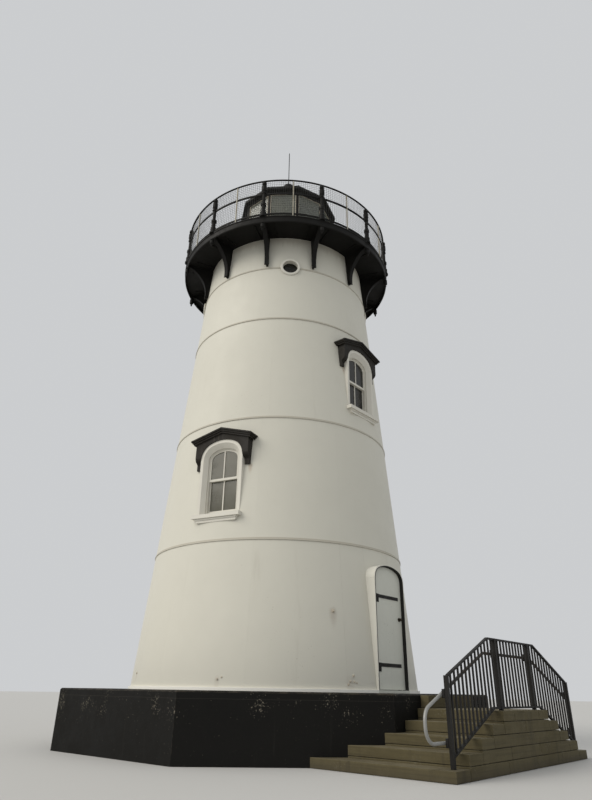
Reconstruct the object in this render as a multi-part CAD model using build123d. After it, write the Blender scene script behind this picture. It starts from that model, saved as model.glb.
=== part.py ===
"""Cast-iron harbour lighthouse: a tapered tower of bolted plate courses on an
octagonal plinth, with an iron gallery, a ten-sided lantern, arched windows
under gabled hoods, an arched door, and stone steps with a steel railing.

Frame: the tower's axis is Z, the ground is Z = 0 and the door faces -Y.
All sizes are in millimetres.
"""
from build123d import *
import math
import os

# Tower shell
tower_base_radius = 2780
tower_taper = 0.0851
wall_thickness = 40
course_height = 2438
watch_course_height = 1446
collar_height = 920
seam_bead = 14
seam_bead_height = 30
foot_flange = 34
foot_flange_height = 45
plate_angle = 35
upper_plates = 10
lower_plates = 9
plate_joint = 0.6
fit_clearance = 0.4
floor_thickness = 45

# Plinth
plinth_height = 930
plinth_margin = 943
plinth_edge_chamfer = 22
plinth_sides = 8

# Doorway: a cast sleeve that stands out of the tapered wall
door_set_back = 10
door_half_width = 452
over_door_height = 330
door_arch_rise = 248
door_arch_corner = 200
door_sleeve_plate = 28
door_sleeve_depth = 220
door_sill_height = 45
leaf_recess = 60
leaf_thickness = 50
leaf_clearance = 9
leaf_foot_clearance = 8
stop_gap = 6
stop_width = 24
stop_depth = 30
strap_thickness = 9
strap_height = 58
strap_length = 790
strap_low = 437
strap_high = 1567
hinge_plate_height = 140
hinge_plate_width = 150
hinge_plate_drop = 36
pin_radius = 8
knuckle_radius = 13
pin_clearance = 0.3
pin_inset = 11
pin_proud = 32
lug_height = 26
lug_gap = 5
knob_radius = 27
knob_projection = 60
knob_height = 1212
knob_inset = 100
knob_outline = [
    (1.33, 0), (1.33, 0.12), (0.48, 0.2), (0.48, 0.5), (1, 0.66), (1, 0.86), (0.6, 1)]

# Windows
lower_window_angle = -165
upper_window_angle = -90
window_set_back = 40
window_sill_above_seam = 497
window_glass_half_width = 290
window_glass_foot = 110
window_springing = 1114
window_glass_rise = 165
window_glass_corner = 122
surround_rise = 363
surround_corner = 337
sash_stile = 45
sash_thickness = 36
sash_recess = 45
meeting_rail = 46
meeting_rail_height = 710
muntin_width = 22
pane_thickness = 5
splay_width = 72
splay_depth = 75
surround_flat = 60
window_sleeve_behind = 95
sill_half_width = 512
sill_height = 72
sill_projection = 66
sill_moulding_height = 78
sill_moulding_half_width = 420
sill_moulding_projection = 30
sill_moulding_step = 14
sill_moulding_step_share = 0.6

# Hoods over the windows
hood_proud = 20
hood_half_width = 590
hood_foot_drop = 489
hood_foot_width = 98
hood_foot_block = 107
hood_foot_curve = 120
hood_foot_proud = 36
hood_splay_share = 0.6
hood_eave_above_sill = 1517
cornice_half_width = 680
cornice_projection = 74
cornice_height = 100
cornice_gable_rise = 196
cornice_step = 22
cornice_bands = [(0.7, 1), (0.36, 0.71), (0, 0.37)]

# Portholes
porthole_count = 4
first_porthole_angle = -135
porthole_radius = 173
porthole_rim_width = 53
porthole_rim_proud = 26
porthole_bevel = 14
porthole_bevel_share = 0.6
porthole_sleeve = 110
porthole_glass_recess = 75

# Gallery
bay_count = 12
gallery_overhang = 684
deck_thickness = 70
rim_height = 167
rim_width = 26
rim_nosing = 14
rim_lip = 4
rim_foot_bevel = (8, 18)
rim_nose_start = 34
rim_nose_flat = 20
console_web = 42
console_flange_width = 104
console_flange = 16
console_foot_depth = 92
console_foot_above_seam = 45
console_end_inset = 62
console_nose_height = 52
console_knee_out = 1.75
console_knee_up = 0.52
pendant_length = 200
pendant_radius = 48
post_inset = 24
post_height = 1074
post_radius = 58

# Turned outlines: shares of the radius and of the height
post_outline = [
    (1.45, 0), (1.45, 0.034), (1.17, 0.05), (1.17, 0.158), (0.86, 0.186), (0.86, 0.3),
    (1.1, 0.322), (1.1, 0.38), (0.69, 0.41), (0.69, 0.642), (0.97, 0.654), (0.97, 0.68),
    (0.69, 0.7), (1.03, 0.745), (1.03, 0.866), (0.59, 0.892), (0.93, 0.918), (0.93, 0.972),
    (0.2, 1)]
post_ring_share = 0.97
post_foot_share = 1.17
pendant_outline = [
    (0.3, 0), (0.5, 0.13), (0.27, 0.22), (0.62, 0.31), (1, 0.42), (1, 0.83), (0.6, 0.89),
    (1, 0.95), (1, 1)]

# Gallery rails
top_rail_radius = 21
middle_rail_height = 687
bottom_rail_height = 83
flat_rail_width = 22
flat_rail_height = 44
stanchion_size = 24

# Lantern
lantern_sides = 10
lantern_inset = 738
lantern_post = 56
lantern_wall = 28
lantern_height = 2094
parapet_height = 980
lantern_sill_height = 60
lantern_sill_proud = 26
lantern_sill_inside = 44
lantern_sill_slope = 22
lantern_fit = 4
lantern_pane = 8
eave_overhang = 119
eave_height = 140
eave_outline = [(0.1, 0), (0.24, 0.33), (0.8, 0.5), (1, 0.6), (1, 1)]
roof_rise = 720
roof_plate = 22
vent_radius = 112
vent_neck_height = 286
vent_ball_radius = 180
vent_neck_share = 0.8
vent_skirt_share = 1.4
vent_skirt_lift = 10
vent_skirt_height = 20
vent_skirt_slope = 50
rod_radius = 11
rod_length = 1303
rod_point_share = 5

# Steps
riser = 152
first_riser = 132
tread = 370
landing_length = 1630
steps_depth = 1339
stair_offset = -100
step_levels = 5
stone_joint = 0.6
door_step_depth = 140
door_step_width = 1400
door_step_foot = 18

# Stair railing
railing_inset = 120
end_post_x = 2125
bend_x = 835
inner_post_x = 600
railing_height = 938
rail_section = 40
rail_depth = 26
railing_post = 50
picket = 22
picket_pitch = 109
bottom_rail_gap = 20
handrail_radius = 21
handrail_height = 731
handrail_offset = 80
near_loop_reach = 455
far_loop_reach = 260
loop_height = 400
loop_seam = 1
near_loop_bend = 180
far_loop_bend = 120
rail_bend = 90
bracket_size = 44

# Worked-out levels and radii
seam_levels = [plinth_height + course_height * n for n in range(4)]
seam_levels += [seam_levels[-1] + watch_course_height]
soffit_z = seam_levels[-1] + collar_height
door_crown_height = course_height - over_door_height
seam_levels += [soffit_z]
deck_top = soffit_z + deck_thickness
top_radius = tower_base_radius - tower_taper * (soffit_z - plinth_height)
deck_radius = top_radius + gallery_overhang
lantern_radius = top_radius - lantern_inset
eave_radius = lantern_radius + eave_overhang
plinth_apothem = tower_base_radius + plinth_margin
steps_outer_y = plinth_apothem + steps_depth
railing_y = steps_outer_y - railing_inset
door_front = tower_base_radius - door_set_back
surround_half_width = window_glass_half_width + sash_stile + splay_width + surround_flat
bay_step = 360 / bay_count
door_angle = -90
far_reach = tower_base_radius * 2


def window_places():
    """Each window's facing and the seam below it; the hidden side repeats both."""
    pairs = [(lower_window_angle, 1), (upper_window_angle, 2)]
    return pairs + [(angle + 180, seam) for angle, seam in pairs]


def porthole_angles():
    step = 360 / porthole_count
    return [first_porthole_angle + step * n for n in range(porthole_count)]


def tower_radius(z):
    """Outer radius of the tapered shell at height z."""
    return tower_base_radius - tower_taper * (z - plinth_height)


def turned(shape, angle):
    """Turn a shape made facing +X to face the given angle."""
    return Rot(0, 0, angle) * shape


def flat_face(points):
    """A face from a closed outline in the plane of the current drawing."""
    return make_face(Polyline(*points, close=True))


def revolved(points, arc=360, start=0):
    """Solid of revolution about Z from an outline of (radius, height)."""
    face = Plane.XZ * flat_face(points)
    return Rot(0, 0, start) * revolve(face, Axis.Z, arc)


def turned_outline(shares, radius, low, height):
    """Outline for turning, from shares of a radius and of a height."""
    points = [(radius * r, low + height * h) for r, h in shares]
    return [(0, low)] + points + [(0, low + height)]


def basket_arch(half_width, base, crown, rise, corner):
    """Upright outline with a three-centred arched head, as a face.

    The drawing's X is the width and its Y the height."""
    spring = crown - rise
    radius = ((half_width - corner) ** 2 + rise ** 2 - corner ** 2) / (2 * (rise - corner))
    centre_y = crown - radius
    across = half_width - corner
    slope = math.atan2(spring - centre_y, across)
    meet_x = radius * math.cos(slope)
    meet_y = centre_y + radius * math.sin(slope)
    mid = slope / 2
    haunch_x = across + corner * math.cos(mid)
    haunch_y = spring + corner * math.sin(mid)
    outline = [
        Line((-half_width, base), (half_width, base)),
        Line((half_width, base), (half_width, spring)),
        ThreePointArc((half_width, spring), (haunch_x, haunch_y), (meet_x, meet_y)),
        ThreePointArc((meet_x, meet_y), (0, crown), (-meet_x, meet_y)),
        ThreePointArc((-meet_x, meet_y), (-haunch_x, haunch_y), (-half_width, spring)),
        Line((-half_width, spring), (-half_width, base)),
    ]
    return make_face(outline)


def standing_prism(face, inner, outer):
    """Stand a drawn face upright across +X, from x = inner to x = outer."""
    upright = Plane(origin=(inner, 0, 0), x_dir=(0, 1, 0), z_dir=(1, 0, 0))
    return extrude(upright * face, outer - inner)


def standing_box(y_low, y_high, z_low, z_high, inner, outer):
    """Box given by its sides, standing across +X."""
    size = (outer - inner, y_high - y_low, z_high - z_low)
    centre = Vector((inner + outer) / 2, (y_low + y_high) / 2, (z_low + z_high) / 2)
    return Pos(centre) * Box(*size)


def solids_of(*shapes):
    """Flatten shapes into one compound of separate solids."""
    parts = []
    for shape in shapes:
        parts += shape.solids()
    return Compound(children=parts)


def save(name, *shapes):
    export_step(solids_of(*shapes), "parts/" + name + ".step")


# Plinth and floor

def make_plinth():
    radius = plinth_apothem / math.cos(math.pi / plinth_sides)
    outline = RegularPolygon(radius, plinth_sides, rotation=180 / plinth_sides)
    block = extrude(outline, plinth_height)
    return chamfer(block.faces().sort_by(Axis.Z)[-1].edges(), plinth_edge_chamfer)


def make_ground_floor():
    inside = tower_radius(plinth_height + floor_thickness) - wall_thickness
    disc = Pos(0, 0, plinth_height) * Cylinder(
        inside - fit_clearance, floor_thickness,
        align=(Align.CENTER, Align.CENTER, Align.MIN))
    side = door_half_width + door_sleeve_plate + fit_clearance
    back = door_front - door_sleeve_depth - fit_clearance
    notch = standing_box(-side, side, 0, plinth_height * 2, back, tower_base_radius)
    return disc - turned(notch, door_angle)


# Tower shell

def shell_section(low, high, foot=False, bead=True):
    """Outline of one course of plate: taper, foot flange and seam bead."""
    outer_low = tower_radius(low)
    outer_high = tower_radius(high)
    points = [(outer_low - wall_thickness, low)]
    if foot:
        top = low + foot_flange_height
        points += [(outer_low + foot_flange, low), (outer_low + foot_flange, top)]
        points += [(tower_radius(top), top)]
    else:
        points += [(outer_low, low)]
    if bead:
        under = high - seam_bead_height
        points += [(tower_radius(under), under)]
        points += [(tower_radius(under) + seam_bead, under + seam_bead / 2)]
        points += [(outer_high + seam_bead, high)]
    else:
        points += [(outer_high, high)]
    points += [(outer_high - wall_thickness, high)]
    return points


def shell_plates(section, start, total, count):
    """Equal curved plates with a fine joint between them."""
    joint = math.degrees(plate_joint / tower_base_radius)
    step = total / count
    plates = []
    for n in range(count):
        plates.append(revolved(section, step - joint, start + n * step + joint / 2))
    return plates


def door_outline(offset, base=plinth_height):
    return basket_arch(door_half_width + offset, base,
                       plinth_height + door_crown_height + offset,
                       door_arch_rise + offset, door_arch_corner + offset)


def sill_level(seam):
    """Top of the sill of a window above the given seam."""
    return seam_levels[seam] + window_sill_above_seam


def window_face(seam):
    """Distance from the axis to the front of a window's upright surround."""
    return tower_radius(sill_level(seam)) - window_set_back


def sash_outline(seam, offset, base):
    """Flat-arched outline at an offset outside the visible glass."""
    spring = sill_level(seam) + window_springing
    return basket_arch(window_glass_half_width + offset, base,
                       spring + window_glass_rise + offset,
                       window_glass_rise + offset, window_glass_corner + offset)


def surround_outline(seam, offset, base):
    """Rounder arch of the surround, at an offset outside its outer edge."""
    spring = sill_level(seam) + window_springing
    return basket_arch(surround_half_width + offset, base,
                       spring + surround_rise + offset,
                       surround_rise + offset, surround_corner + offset)


def sash_front(seam):
    """Distance from the axis to the front of the upper sash."""
    return window_face(seam) - splay_depth - sash_recess


def window_cutter(seam):
    """What a window's surround and sill take out of the wall."""
    sill = sill_level(seam)
    inner = window_face(seam) - far_reach / 4
    outer = window_face(seam) + far_reach / 4
    body = surround_outline(seam, fit_clearance, sill - fit_clearance)
    opening = standing_prism(body, inner, outer)
    half = sill_half_width + fit_clearance
    ledge = standing_box(-half, half, sill - sill_height - fit_clearance,
                         sill + fit_clearance, inner, outer)
    return opening + ledge


def porthole_cutter():
    z = seam_levels[4]
    return Pos(tower_radius(z), 0, z) * Rot(0, 90, 0) * Cylinder(
        porthole_radius + porthole_rim_width / 2 + fit_clearance, far_reach / 8)


def make_first_course():
    section = shell_section(seam_levels[0], seam_levels[1] - plate_joint, foot=True)
    whole = lower_plates * plate_angle
    return shell_plates(section, door_angle + (360 - whole) / 2, whole, lower_plates)


def make_walls_round_door():
    """The short plates on each side of the doorway, and the one over it."""
    low = seam_levels[0]
    high = seam_levels[1] - plate_joint
    section = shell_section(low, high, foot=True)
    sweep = 360 - lower_plates * plate_angle
    bay = shell_plates(section, -sweep / 2, sweep, 1)[0]
    outer_half = door_half_width + door_sleeve_plate
    sleeve = standing_prism(door_outline(door_sleeve_plate + fit_clearance, low - 1),
                            0, far_reach)
    bay = bay - sleeve
    spring = plinth_height + door_crown_height - door_arch_rise
    reach = far_reach
    middle = standing_box(-outer_half, outer_half, spring, high + 1, 0, reach)
    over = bay & middle
    left = bay & standing_box(-reach, -outer_half - plate_joint, low - 1, high + 1, 0, reach)
    right = bay & standing_box(outer_half + plate_joint, reach, low - 1, high + 1, 0, reach)
    return turned(left, door_angle), turned(right, door_angle), turned(over, door_angle)


def make_upper_course(number):
    low = seam_levels[number]
    high = seam_levels[number + 1]
    last = number == 4
    top = high - fit_clearance if last else high - plate_joint
    section = shell_section(low, top, bead=not last)
    windows = [angle for angle, seam in window_places() if seam == number]
    middle = windows[0] if windows else porthole_angles()[0]
    plates = shell_plates(section, middle + 180 / upper_plates, 360, upper_plates)
    cutters = [turned(window_cutter(number), angle) for angle in windows]
    if number in (3, 4):
        cutters += [turned(porthole_cutter(), angle) for angle in porthole_angles()]
    cut_plates = []
    for plate in plates:
        for cutter in cutters:
            plate = plate - cutter
        cut_plates.append(plate)
    return cut_plates


# Doorway

def make_door_sleeve():
    """Two jambs, an arched head with an inner stop, and the sill."""
    front = door_front
    back = front - door_sleeve_depth
    sill_top = plinth_height + door_sill_height
    shell = (standing_prism(door_outline(door_sleeve_plate), back, front)
             - standing_prism(door_outline(0, plinth_height - 1), back - 1, front + 1))
    stop_front = front - leaf_recess - leaf_thickness - stop_gap
    stop_back = stop_front - stop_depth
    stop = (standing_prism(door_outline(1), stop_back, stop_front)
            - standing_prism(door_outline(-stop_width, plinth_height - 1), back - 1, front + 1))
    sleeve = shell + stop
    spring = plinth_height + door_crown_height - door_arch_rise
    reach = far_reach
    head = sleeve & standing_box(-reach, reach, spring + plate_joint, reach, 0, reach)
    lower = sleeve & standing_box(-reach, reach, plinth_height, spring, 0, reach)
    left = lower & standing_box(-reach, 0, 0, reach, 0, reach)
    right = lower & standing_box(0, reach, 0, reach, 0, reach)
    side = door_half_width - fit_clearance
    sill = standing_box(-side, side, plinth_height, sill_top, stop_back, front + 1)
    sill = sill - standing_box(-reach, -side + stop_width, 0, reach, 0, stop_front)
    sill = sill - standing_box(side - stop_width, reach, 0, reach, 0, stop_front)
    flange = Pos(0, 0, plinth_height) * Cylinder(
        tower_base_radius + foot_flange, door_sill_height,
        align=(Align.CENTER, Align.CENTER, Align.MIN))
    outer = door_half_width + door_sleeve_plate
    apron = flange & standing_box(-outer, outer, 0, reach, front + fit_clearance, reach)
    sill = sill + apron
    return [turned(piece, door_angle) for piece in (left, right, head, sill)]


hinge_face = -(door_front - leaf_recess)
hinge_y = hinge_face - pin_proud
hinge_x = -door_half_width + leaf_clearance + pin_inset


def make_door_leaf():
    base = plinth_height + door_sill_height + leaf_foot_clearance
    outer = door_front - leaf_recess
    leaf = standing_prism(door_outline(-leaf_clearance, base), outer - leaf_thickness, outer)
    return turned(leaf, door_angle)


def hinge_heights():
    return [plinth_height + strap_low, plinth_height + strap_high]


def make_hinge_straps():
    """Long strap with an upright plate that carries the knuckle."""
    straps = []
    back = hinge_face - fit_clearance
    for z in hinge_heights():
        start = hinge_x - knuckle_radius
        strap = Pos(start + strap_length / 2, back - strap_thickness / 2, z) * Box(
            strap_length, strap_thickness, strap_height)
        plate = Box(hinge_plate_width, strap_thickness, hinge_plate_height)
        plate = Pos(start + hinge_plate_width / 2, back - strap_thickness / 2,
                    z - hinge_plate_drop) * plate
        arm = Pos(hinge_x, (back + hinge_y) / 2, z) * Box(
            knuckle_radius * 2, back - hinge_y, strap_height)
        knuckle = Pos(hinge_x, hinge_y, z) * Cylinder(knuckle_radius, strap_height)
        bore = Pos(hinge_x, hinge_y, z) * Cylinder(pin_radius + pin_clearance, strap_height * 2)
        straps.append(strap + plate + arm + knuckle - bore)
    return straps


def make_hinge_pins():
    """Pintles: a pin held between two lugs that stand on the jamb."""
    pins = []
    jamb = -door_half_width + fit_clearance
    for z in hinge_heights():
        pin_length = strap_height + 2 * lug_height + 2 * lug_gap
        pin = Pos(hinge_x, hinge_y, z) * Cylinder(pin_radius, pin_length)
        for side in (-1, 1):
            lug_z = z + side * (strap_height / 2 + lug_gap + lug_height / 2)
            eye = Pos(hinge_x, hinge_y, lug_z) * Cylinder(knuckle_radius, lug_height)
            arm = Pos((jamb + hinge_x) / 2, hinge_y, lug_z) * Box(
                hinge_x - jamb, knuckle_radius * 2, lug_height)
            pin = pin + eye + arm
        pins.append(pin)
    return pins


def make_door_knob():
    """Round plate, stem and a flattened ball."""
    x = door_half_width - knob_inset
    z = plinth_height + knob_height
    knob = revolved(turned_outline(knob_outline, knob_radius, 0, knob_projection))
    return Pos(x, hinge_face - fit_clearance, z) * Rot(90, 0, 0) * knob


# Windows, made facing +X and turned to their places

def make_surround(seam):
    """Arched casing: a flat outer face, then a splay down to the sashes."""
    sill = sill_level(seam)
    front = window_face(seam)
    crown = sill + window_springing + surround_rise
    back = tower_radius(crown) - wall_thickness - window_sleeve_behind
    casing = standing_prism(surround_outline(seam, 0, sill), back, front)
    bottom = sill + fit_clearance
    deep = front - splay_depth
    inner = sash_outline(seam, sash_stile, bottom)
    wide = surround_outline(seam, -surround_flat, bottom)
    upright = Plane(origin=(0, 0, 0), x_dir=(0, 1, 0), z_dir=(1, 0, 0))
    splay = loft([Pos(deep, 0, 0) * (upright * inner), Pos(front + 1, 0, 0) * (upright * wide)])
    through = standing_prism(sash_outline(seam, sash_stile, sill - 1), back - 1, front + 1)
    return casing - splay - through


def make_sill(seam):
    """Projecting sill with a moulding under it."""
    top = sill_level(seam)
    back = sash_front(seam) - 2 * sash_thickness - fit_clearance
    front = tower_radius(top) + sill_projection
    ledge = standing_box(-sill_half_width, sill_half_width, top - sill_height, top, back, front)
    low = top - sill_height - sill_moulding_height
    reach = front - sill_moulding_projection
    half = sill_moulding_half_width
    half_top = half + sill_moulding_height / 2
    points = [(-half, low), (half, low), (half_top, top - sill_height + 1),
              (-half_top, top - sill_height + 1)]
    moulding = standing_prism(flat_face(points), back, reach)
    step_top = low + sill_moulding_height * sill_moulding_step_share
    toe = standing_box(-far_reach, far_reach, low - 1, step_top,
                       reach - sill_moulding_step, reach + 1)
    moulding = moulding - toe - wall_cone(fit_clearance)
    return ledge + moulding


def wall_cone(extra):
    """The tower's outside face as a solid, for cutting what stands against it."""
    return Pos(0, 0, plinth_height) * Cone(
        tower_base_radius + extra, top_radius + extra, soffit_z - plinth_height,
        align=(Align.CENTER, Align.CENTER, Align.MIN))


def make_sashes(seam):
    """Upper sash in front and lower sash behind it, each with one upright bar."""
    sill = sill_level(seam)
    lift = sill + fit_clearance
    meet_low = sill + meeting_rail_height - meeting_rail / 2
    meet_high = meet_low + meeting_rail
    front = sash_front(seam)
    middle = front - sash_thickness - fit_clearance
    edge = sash_stile - fit_clearance
    side = window_glass_half_width + edge
    bar_half = muntin_width / 2
    glass_foot = sill + window_glass_foot
    light = window_glass_half_width
    upper = standing_prism(sash_outline(seam, edge, meet_low), front - sash_thickness, front)
    upper = upper - standing_prism(sash_outline(seam, 0, meet_high),
                                   front - sash_thickness - 1, front + 1)
    lower = standing_box(-side, side, lift, meet_high, middle - sash_thickness, middle)
    lower = lower - standing_box(-light, light, glass_foot, meet_low,
                                 middle - sash_thickness - 1, middle + 1)
    crown = sill + window_springing + window_glass_rise
    bar_back = front - sash_thickness / 2 + pane_thickness / 2 + fit_clearance
    upper = upper + standing_box(-bar_half, bar_half, meet_high - 1, crown + 1, bar_back, front)
    bar_back = middle - sash_thickness / 2 + pane_thickness / 2 + fit_clearance
    lower = lower + standing_box(-bar_half, bar_half, glass_foot - 1, meet_low + 1,
                                 bar_back, middle)
    panes = []
    pane_front = front - sash_thickness / 2 + pane_thickness / 2
    pane = sash_outline(seam, -fit_clearance, meet_high + fit_clearance)
    panes.append(standing_prism(pane, pane_front - pane_thickness, pane_front))
    pane_front = middle - sash_thickness / 2 + pane_thickness / 2
    half = light - fit_clearance
    panes.append(standing_box(-half, half, glass_foot + fit_clearance,
                              meet_low - fit_clearance, pane_front - pane_thickness, pane_front))
    return solids_of(upper, lower), solids_of(*panes)


def ogee(x_low, y_low, x_high, y_high):
    """Two arcs from a low inner point, hollow first, to a high outer one."""
    width = x_high - x_low
    height = y_high - y_low
    middle = (x_low + width * 0.5, y_low + height * 0.38)
    hollow = (x_low + width * 0.19, y_low + height * 0.23)
    swelling = (x_low + width * 0.83, y_low + height * 0.65)
    return [
        ThreePointArc((x_low, y_low), hollow, middle),
        ThreePointArc(middle, swelling, (x_high, y_high)),
    ]


def hood_board(seam, back, front):
    """Gabled board with two legs, cut out round the arch.

    Each leg sweeps back at its foot to a small block near the wall."""
    eave = sill_level(seam) + hood_eave_above_sill - cornice_height
    edge = eave + cornice_gable_rise * (1 - hood_half_width / cornice_half_width)
    peak = eave + cornice_gable_rise
    foot = eave - hood_foot_drop
    block = foot + hood_foot_block
    start = block + hood_foot_curve
    inner = surround_half_width + fit_clearance
    toe = hood_half_width - hood_foot_width
    splay = 2 * inner - toe
    splay_top = block + hood_foot_curve * hood_splay_share
    right = [(0, peak), (hood_half_width, edge), (hood_half_width, foot), (toe, foot)]
    right += [(toe, block), (splay, splay_top), (0, splay_top)]
    half = standing_prism(flat_face(right), back, front)
    board = half + mirror(half, Plane.XZ)
    arch = surround_outline(seam, fit_clearance, foot - 1)
    across = hood_half_width - hood_foot_width / 2
    wall = math.sqrt(tower_radius(foot) ** 2 - across ** 2)
    toe_front = wall + hood_foot_proud
    clear = front + hood_foot_curve
    profile = [Line((toe_front, foot - 1), (toe_front, block))]
    profile += ogee(toe_front, block, front, start)
    profile += [
        Line((front, start), (clear, start)),
        Line((clear, start), (clear, foot - 1)),
        Line((clear, foot - 1), (toe_front, foot - 1)),
    ]
    hollow = extrude(Plane.XZ * make_face(profile), hood_half_width * 2, both=True)
    return board - standing_prism(arch, back - 1, front + 1) - hollow


def cornice_band(seam, trim, low_share, high_share, inner, outer):
    """One moulded step of the raking cornice, between two shares of its height."""
    eave = sill_level(seam) + hood_eave_above_sill - cornice_height
    half_width = cornice_half_width - trim
    drop = cornice_gable_rise / cornice_half_width * trim
    low = eave + cornice_height * low_share
    high = eave + cornice_height * high_share
    points = [(-half_width, low + drop), (0, low + cornice_gable_rise)]
    points += [(half_width, low + drop), (half_width, high + drop)]
    points += [(0, high + cornice_gable_rise), (-half_width, high + drop)]
    return standing_prism(flat_face(points), inner, outer)


def make_hood(seam):
    front = window_face(seam) + hood_proud
    eave = sill_level(seam) + hood_eave_above_sill
    back = tower_radius(eave) - far_reach / 8
    hood = hood_board(seam, back, front)
    outer = front + cornice_projection
    for n, (low, high) in enumerate(cornice_bands):
        trim = cornice_step * n
        hood = hood + cornice_band(seam, trim, low, high, back, outer - trim)
    return hood - wall_cone(fit_clearance)


def make_window(seam):
    sashes, panes = make_sashes(seam)
    return {
        "window_surrounds": make_surround(seam),
        "window_sills": make_sill(seam),
        "window_sashes": sashes,
        "window_glass": panes,
        "window_hoods": make_hood(seam),
    }


def make_windows():
    nodes = {}
    for angle, seam in window_places():
        for name, shape in make_window(seam).items():
            nodes.setdefault(name, []).append(turned(shape, angle))
    return nodes


def make_portholes():
    """Moulded rims and their round glass, level and facing out."""
    z = seam_levels[4]
    outer = porthole_radius + porthole_rim_width
    face = tower_radius(z)
    sleeve = porthole_radius + porthole_rim_width / 2
    seat = tower_taper * outer + fit_clearance
    points = [(porthole_radius, -porthole_sleeve), (sleeve, -porthole_sleeve), (sleeve, seat)]
    points += [(outer, seat), (outer, seat + porthole_rim_proud * porthole_bevel_share)]
    points += [(outer - porthole_bevel, seat + porthole_rim_proud)]
    points += [(porthole_radius, seat + porthole_rim_proud)]
    ring = Pos(face, 0, z) * Rot(0, 90, 0) * revolved(points)
    pane = Pos(face - porthole_glass_recess, 0, z) * Rot(0, 90, 0) * Cylinder(
        porthole_radius - fit_clearance, pane_thickness)
    rims = [turned(ring, angle) for angle in porthole_angles()]
    panes = [turned(pane, angle) for angle in porthole_angles()]
    return rims, panes


# Gallery

def bay_angles(offset=0):
    return [door_angle + bay_step * (n + offset) for n in range(bay_count)]


def make_consoles():
    """Curved consoles: a web with a flange along its outer edge."""
    foot = seam_levels[4] + console_foot_above_seam
    wall_foot = tower_radius(foot) + fit_clearance
    wall_top = tower_radius(soffit_z) + fit_clearance
    end = deck_radius - console_end_inset
    top = soffit_z - fit_clearance
    tip = top - console_nose_height
    knee_r = wall_foot + console_foot_depth * console_knee_out
    knee_z = foot + (top - foot) * console_knee_up

    def outline(inset):
        """The web's outline, or the same with its outer edge moved in."""
        return [
            Line((wall_foot, foot), (wall_foot + console_foot_depth - inset, foot)),
            ThreePointArc((wall_foot + console_foot_depth - inset, foot),
                          (knee_r - inset * 0.8, knee_z), (end - inset, tip + inset * 0.4)),
            Line((end - inset, tip + inset * 0.4), (end - inset, top)),
            Line((end - inset, top), (wall_top, top)),
            Line((wall_top, top), (wall_foot, foot)),
        ]

    whole = Plane.XZ * make_face(outline(0))
    core = Plane.XZ * make_face(outline(console_flange))
    broad = extrude(whole, console_flange_width / 2, both=True)
    hollow = extrude(core, console_flange_width, both=True)
    web = extrude(whole, console_web / 2, both=True)
    console = (broad - hollow) + web
    return [turned(console, angle) for angle in bay_angles()]


def make_pendants():
    """Turned drops under the rim at each console's end."""
    top = deck_top - rim_height - fit_clearance
    drop = revolved(turned_outline(pendant_outline, pendant_radius, top - pendant_length,
                                   pendant_length))
    place = deck_radius - post_inset
    return [turned(Pos(place, 0, 0) * drop, angle) for angle in bay_angles()]


def make_deck():
    """Radial deck plates, seen from below as panels between the consoles."""
    inner = lantern_radius + lantern_post + fit_clearance
    outer = deck_radius - rim_width - fit_clearance
    section = [(inner, soffit_z), (outer, soffit_z), (outer, deck_top), (inner, deck_top)]
    joint = math.degrees(plate_joint / inner)
    return [revolved(section, bay_step - joint, angle + joint / 2) for angle in bay_angles()]


def make_lantern_floor():
    return Pos(0, 0, soffit_z) * Cylinder(
        lantern_radius + lantern_post, deck_thickness,
        align=(Align.CENTER, Align.CENTER, Align.MIN))


def make_rim():
    """Moulded edge of the deck in twelve curved lengths."""
    low = deck_top - rim_height
    outer = deck_radius
    inner = deck_radius - rim_width
    bevel_in, bevel_up = rim_foot_bevel
    section = [(inner, low), (outer - bevel_in, low), (outer, low + bevel_up)]
    section += [(outer, deck_top - rim_nose_start)]
    nose = outer + rim_nosing
    section += [(nose, deck_top - rim_nose_flat), (nose, deck_top + rim_lip)]
    section += [(inner, deck_top + rim_lip)]
    joint = math.degrees(plate_joint / outer)
    return [revolved(section, bay_step - joint, angle + joint / 2) for angle in bay_angles()]


post_circle = deck_radius - post_inset


def make_gallery_posts():
    """Turned posts: moulded base, swelling shaft, collars and an urn finial."""
    base = deck_top + rim_lip + fit_clearance
    post = revolved(turned_outline(post_outline, post_radius, base, post_height))
    return [turned(Pos(post_circle, 0, 0) * post, angle) for angle in bay_angles()]


def rail_arcs(section, trim):
    """Twelve curved rails, each from post to post, trimmed at the posts."""
    cut = math.degrees(trim / post_circle)
    return [revolved(section, bay_step - 2 * cut, angle + cut) for angle in bay_angles()]


def flat_section(height):
    low = deck_top + height - flat_rail_height / 2
    high = low + flat_rail_height
    inner = post_circle - flat_rail_width / 2
    outer = post_circle + flat_rail_width / 2
    return [(inner, low), (outer, low), (outer, high), (inner, high)]


def make_top_rail():
    sides = 8
    flat = top_rail_radius * math.cos(math.pi / sides)
    z = deck_top + rim_lip + post_height + flat + 2 * fit_clearance
    section = []
    for n in range(sides):
        a = 2 * math.pi * (n + 0.5) / sides
        section.append((post_circle + top_rail_radius * math.cos(a),
                        z + top_rail_radius * math.sin(a)))
    return rail_arcs(section, plate_joint / 2)


def make_stanchions():
    """Plain square bars half way along each bay, outside the rails."""
    base = deck_top + rim_lip + fit_clearance
    top = deck_top + rim_lip + post_height
    bar = Pos(post_circle, 0, base) * Box(stanchion_size, stanchion_size, top - base,
                                         align=(Align.CENTER, Align.CENTER, Align.MIN))
    for height in (middle_rail_height, bottom_rail_height):
        notch = revolved([(r, z + s) for (r, z), s in zip(
            flat_section(height), (-fit_clearance,) * 2 + (fit_clearance,) * 2)])
        bar = bar - notch
    return [turned(bar, angle) for angle in bay_angles(0.5)]


# Lantern

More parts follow.
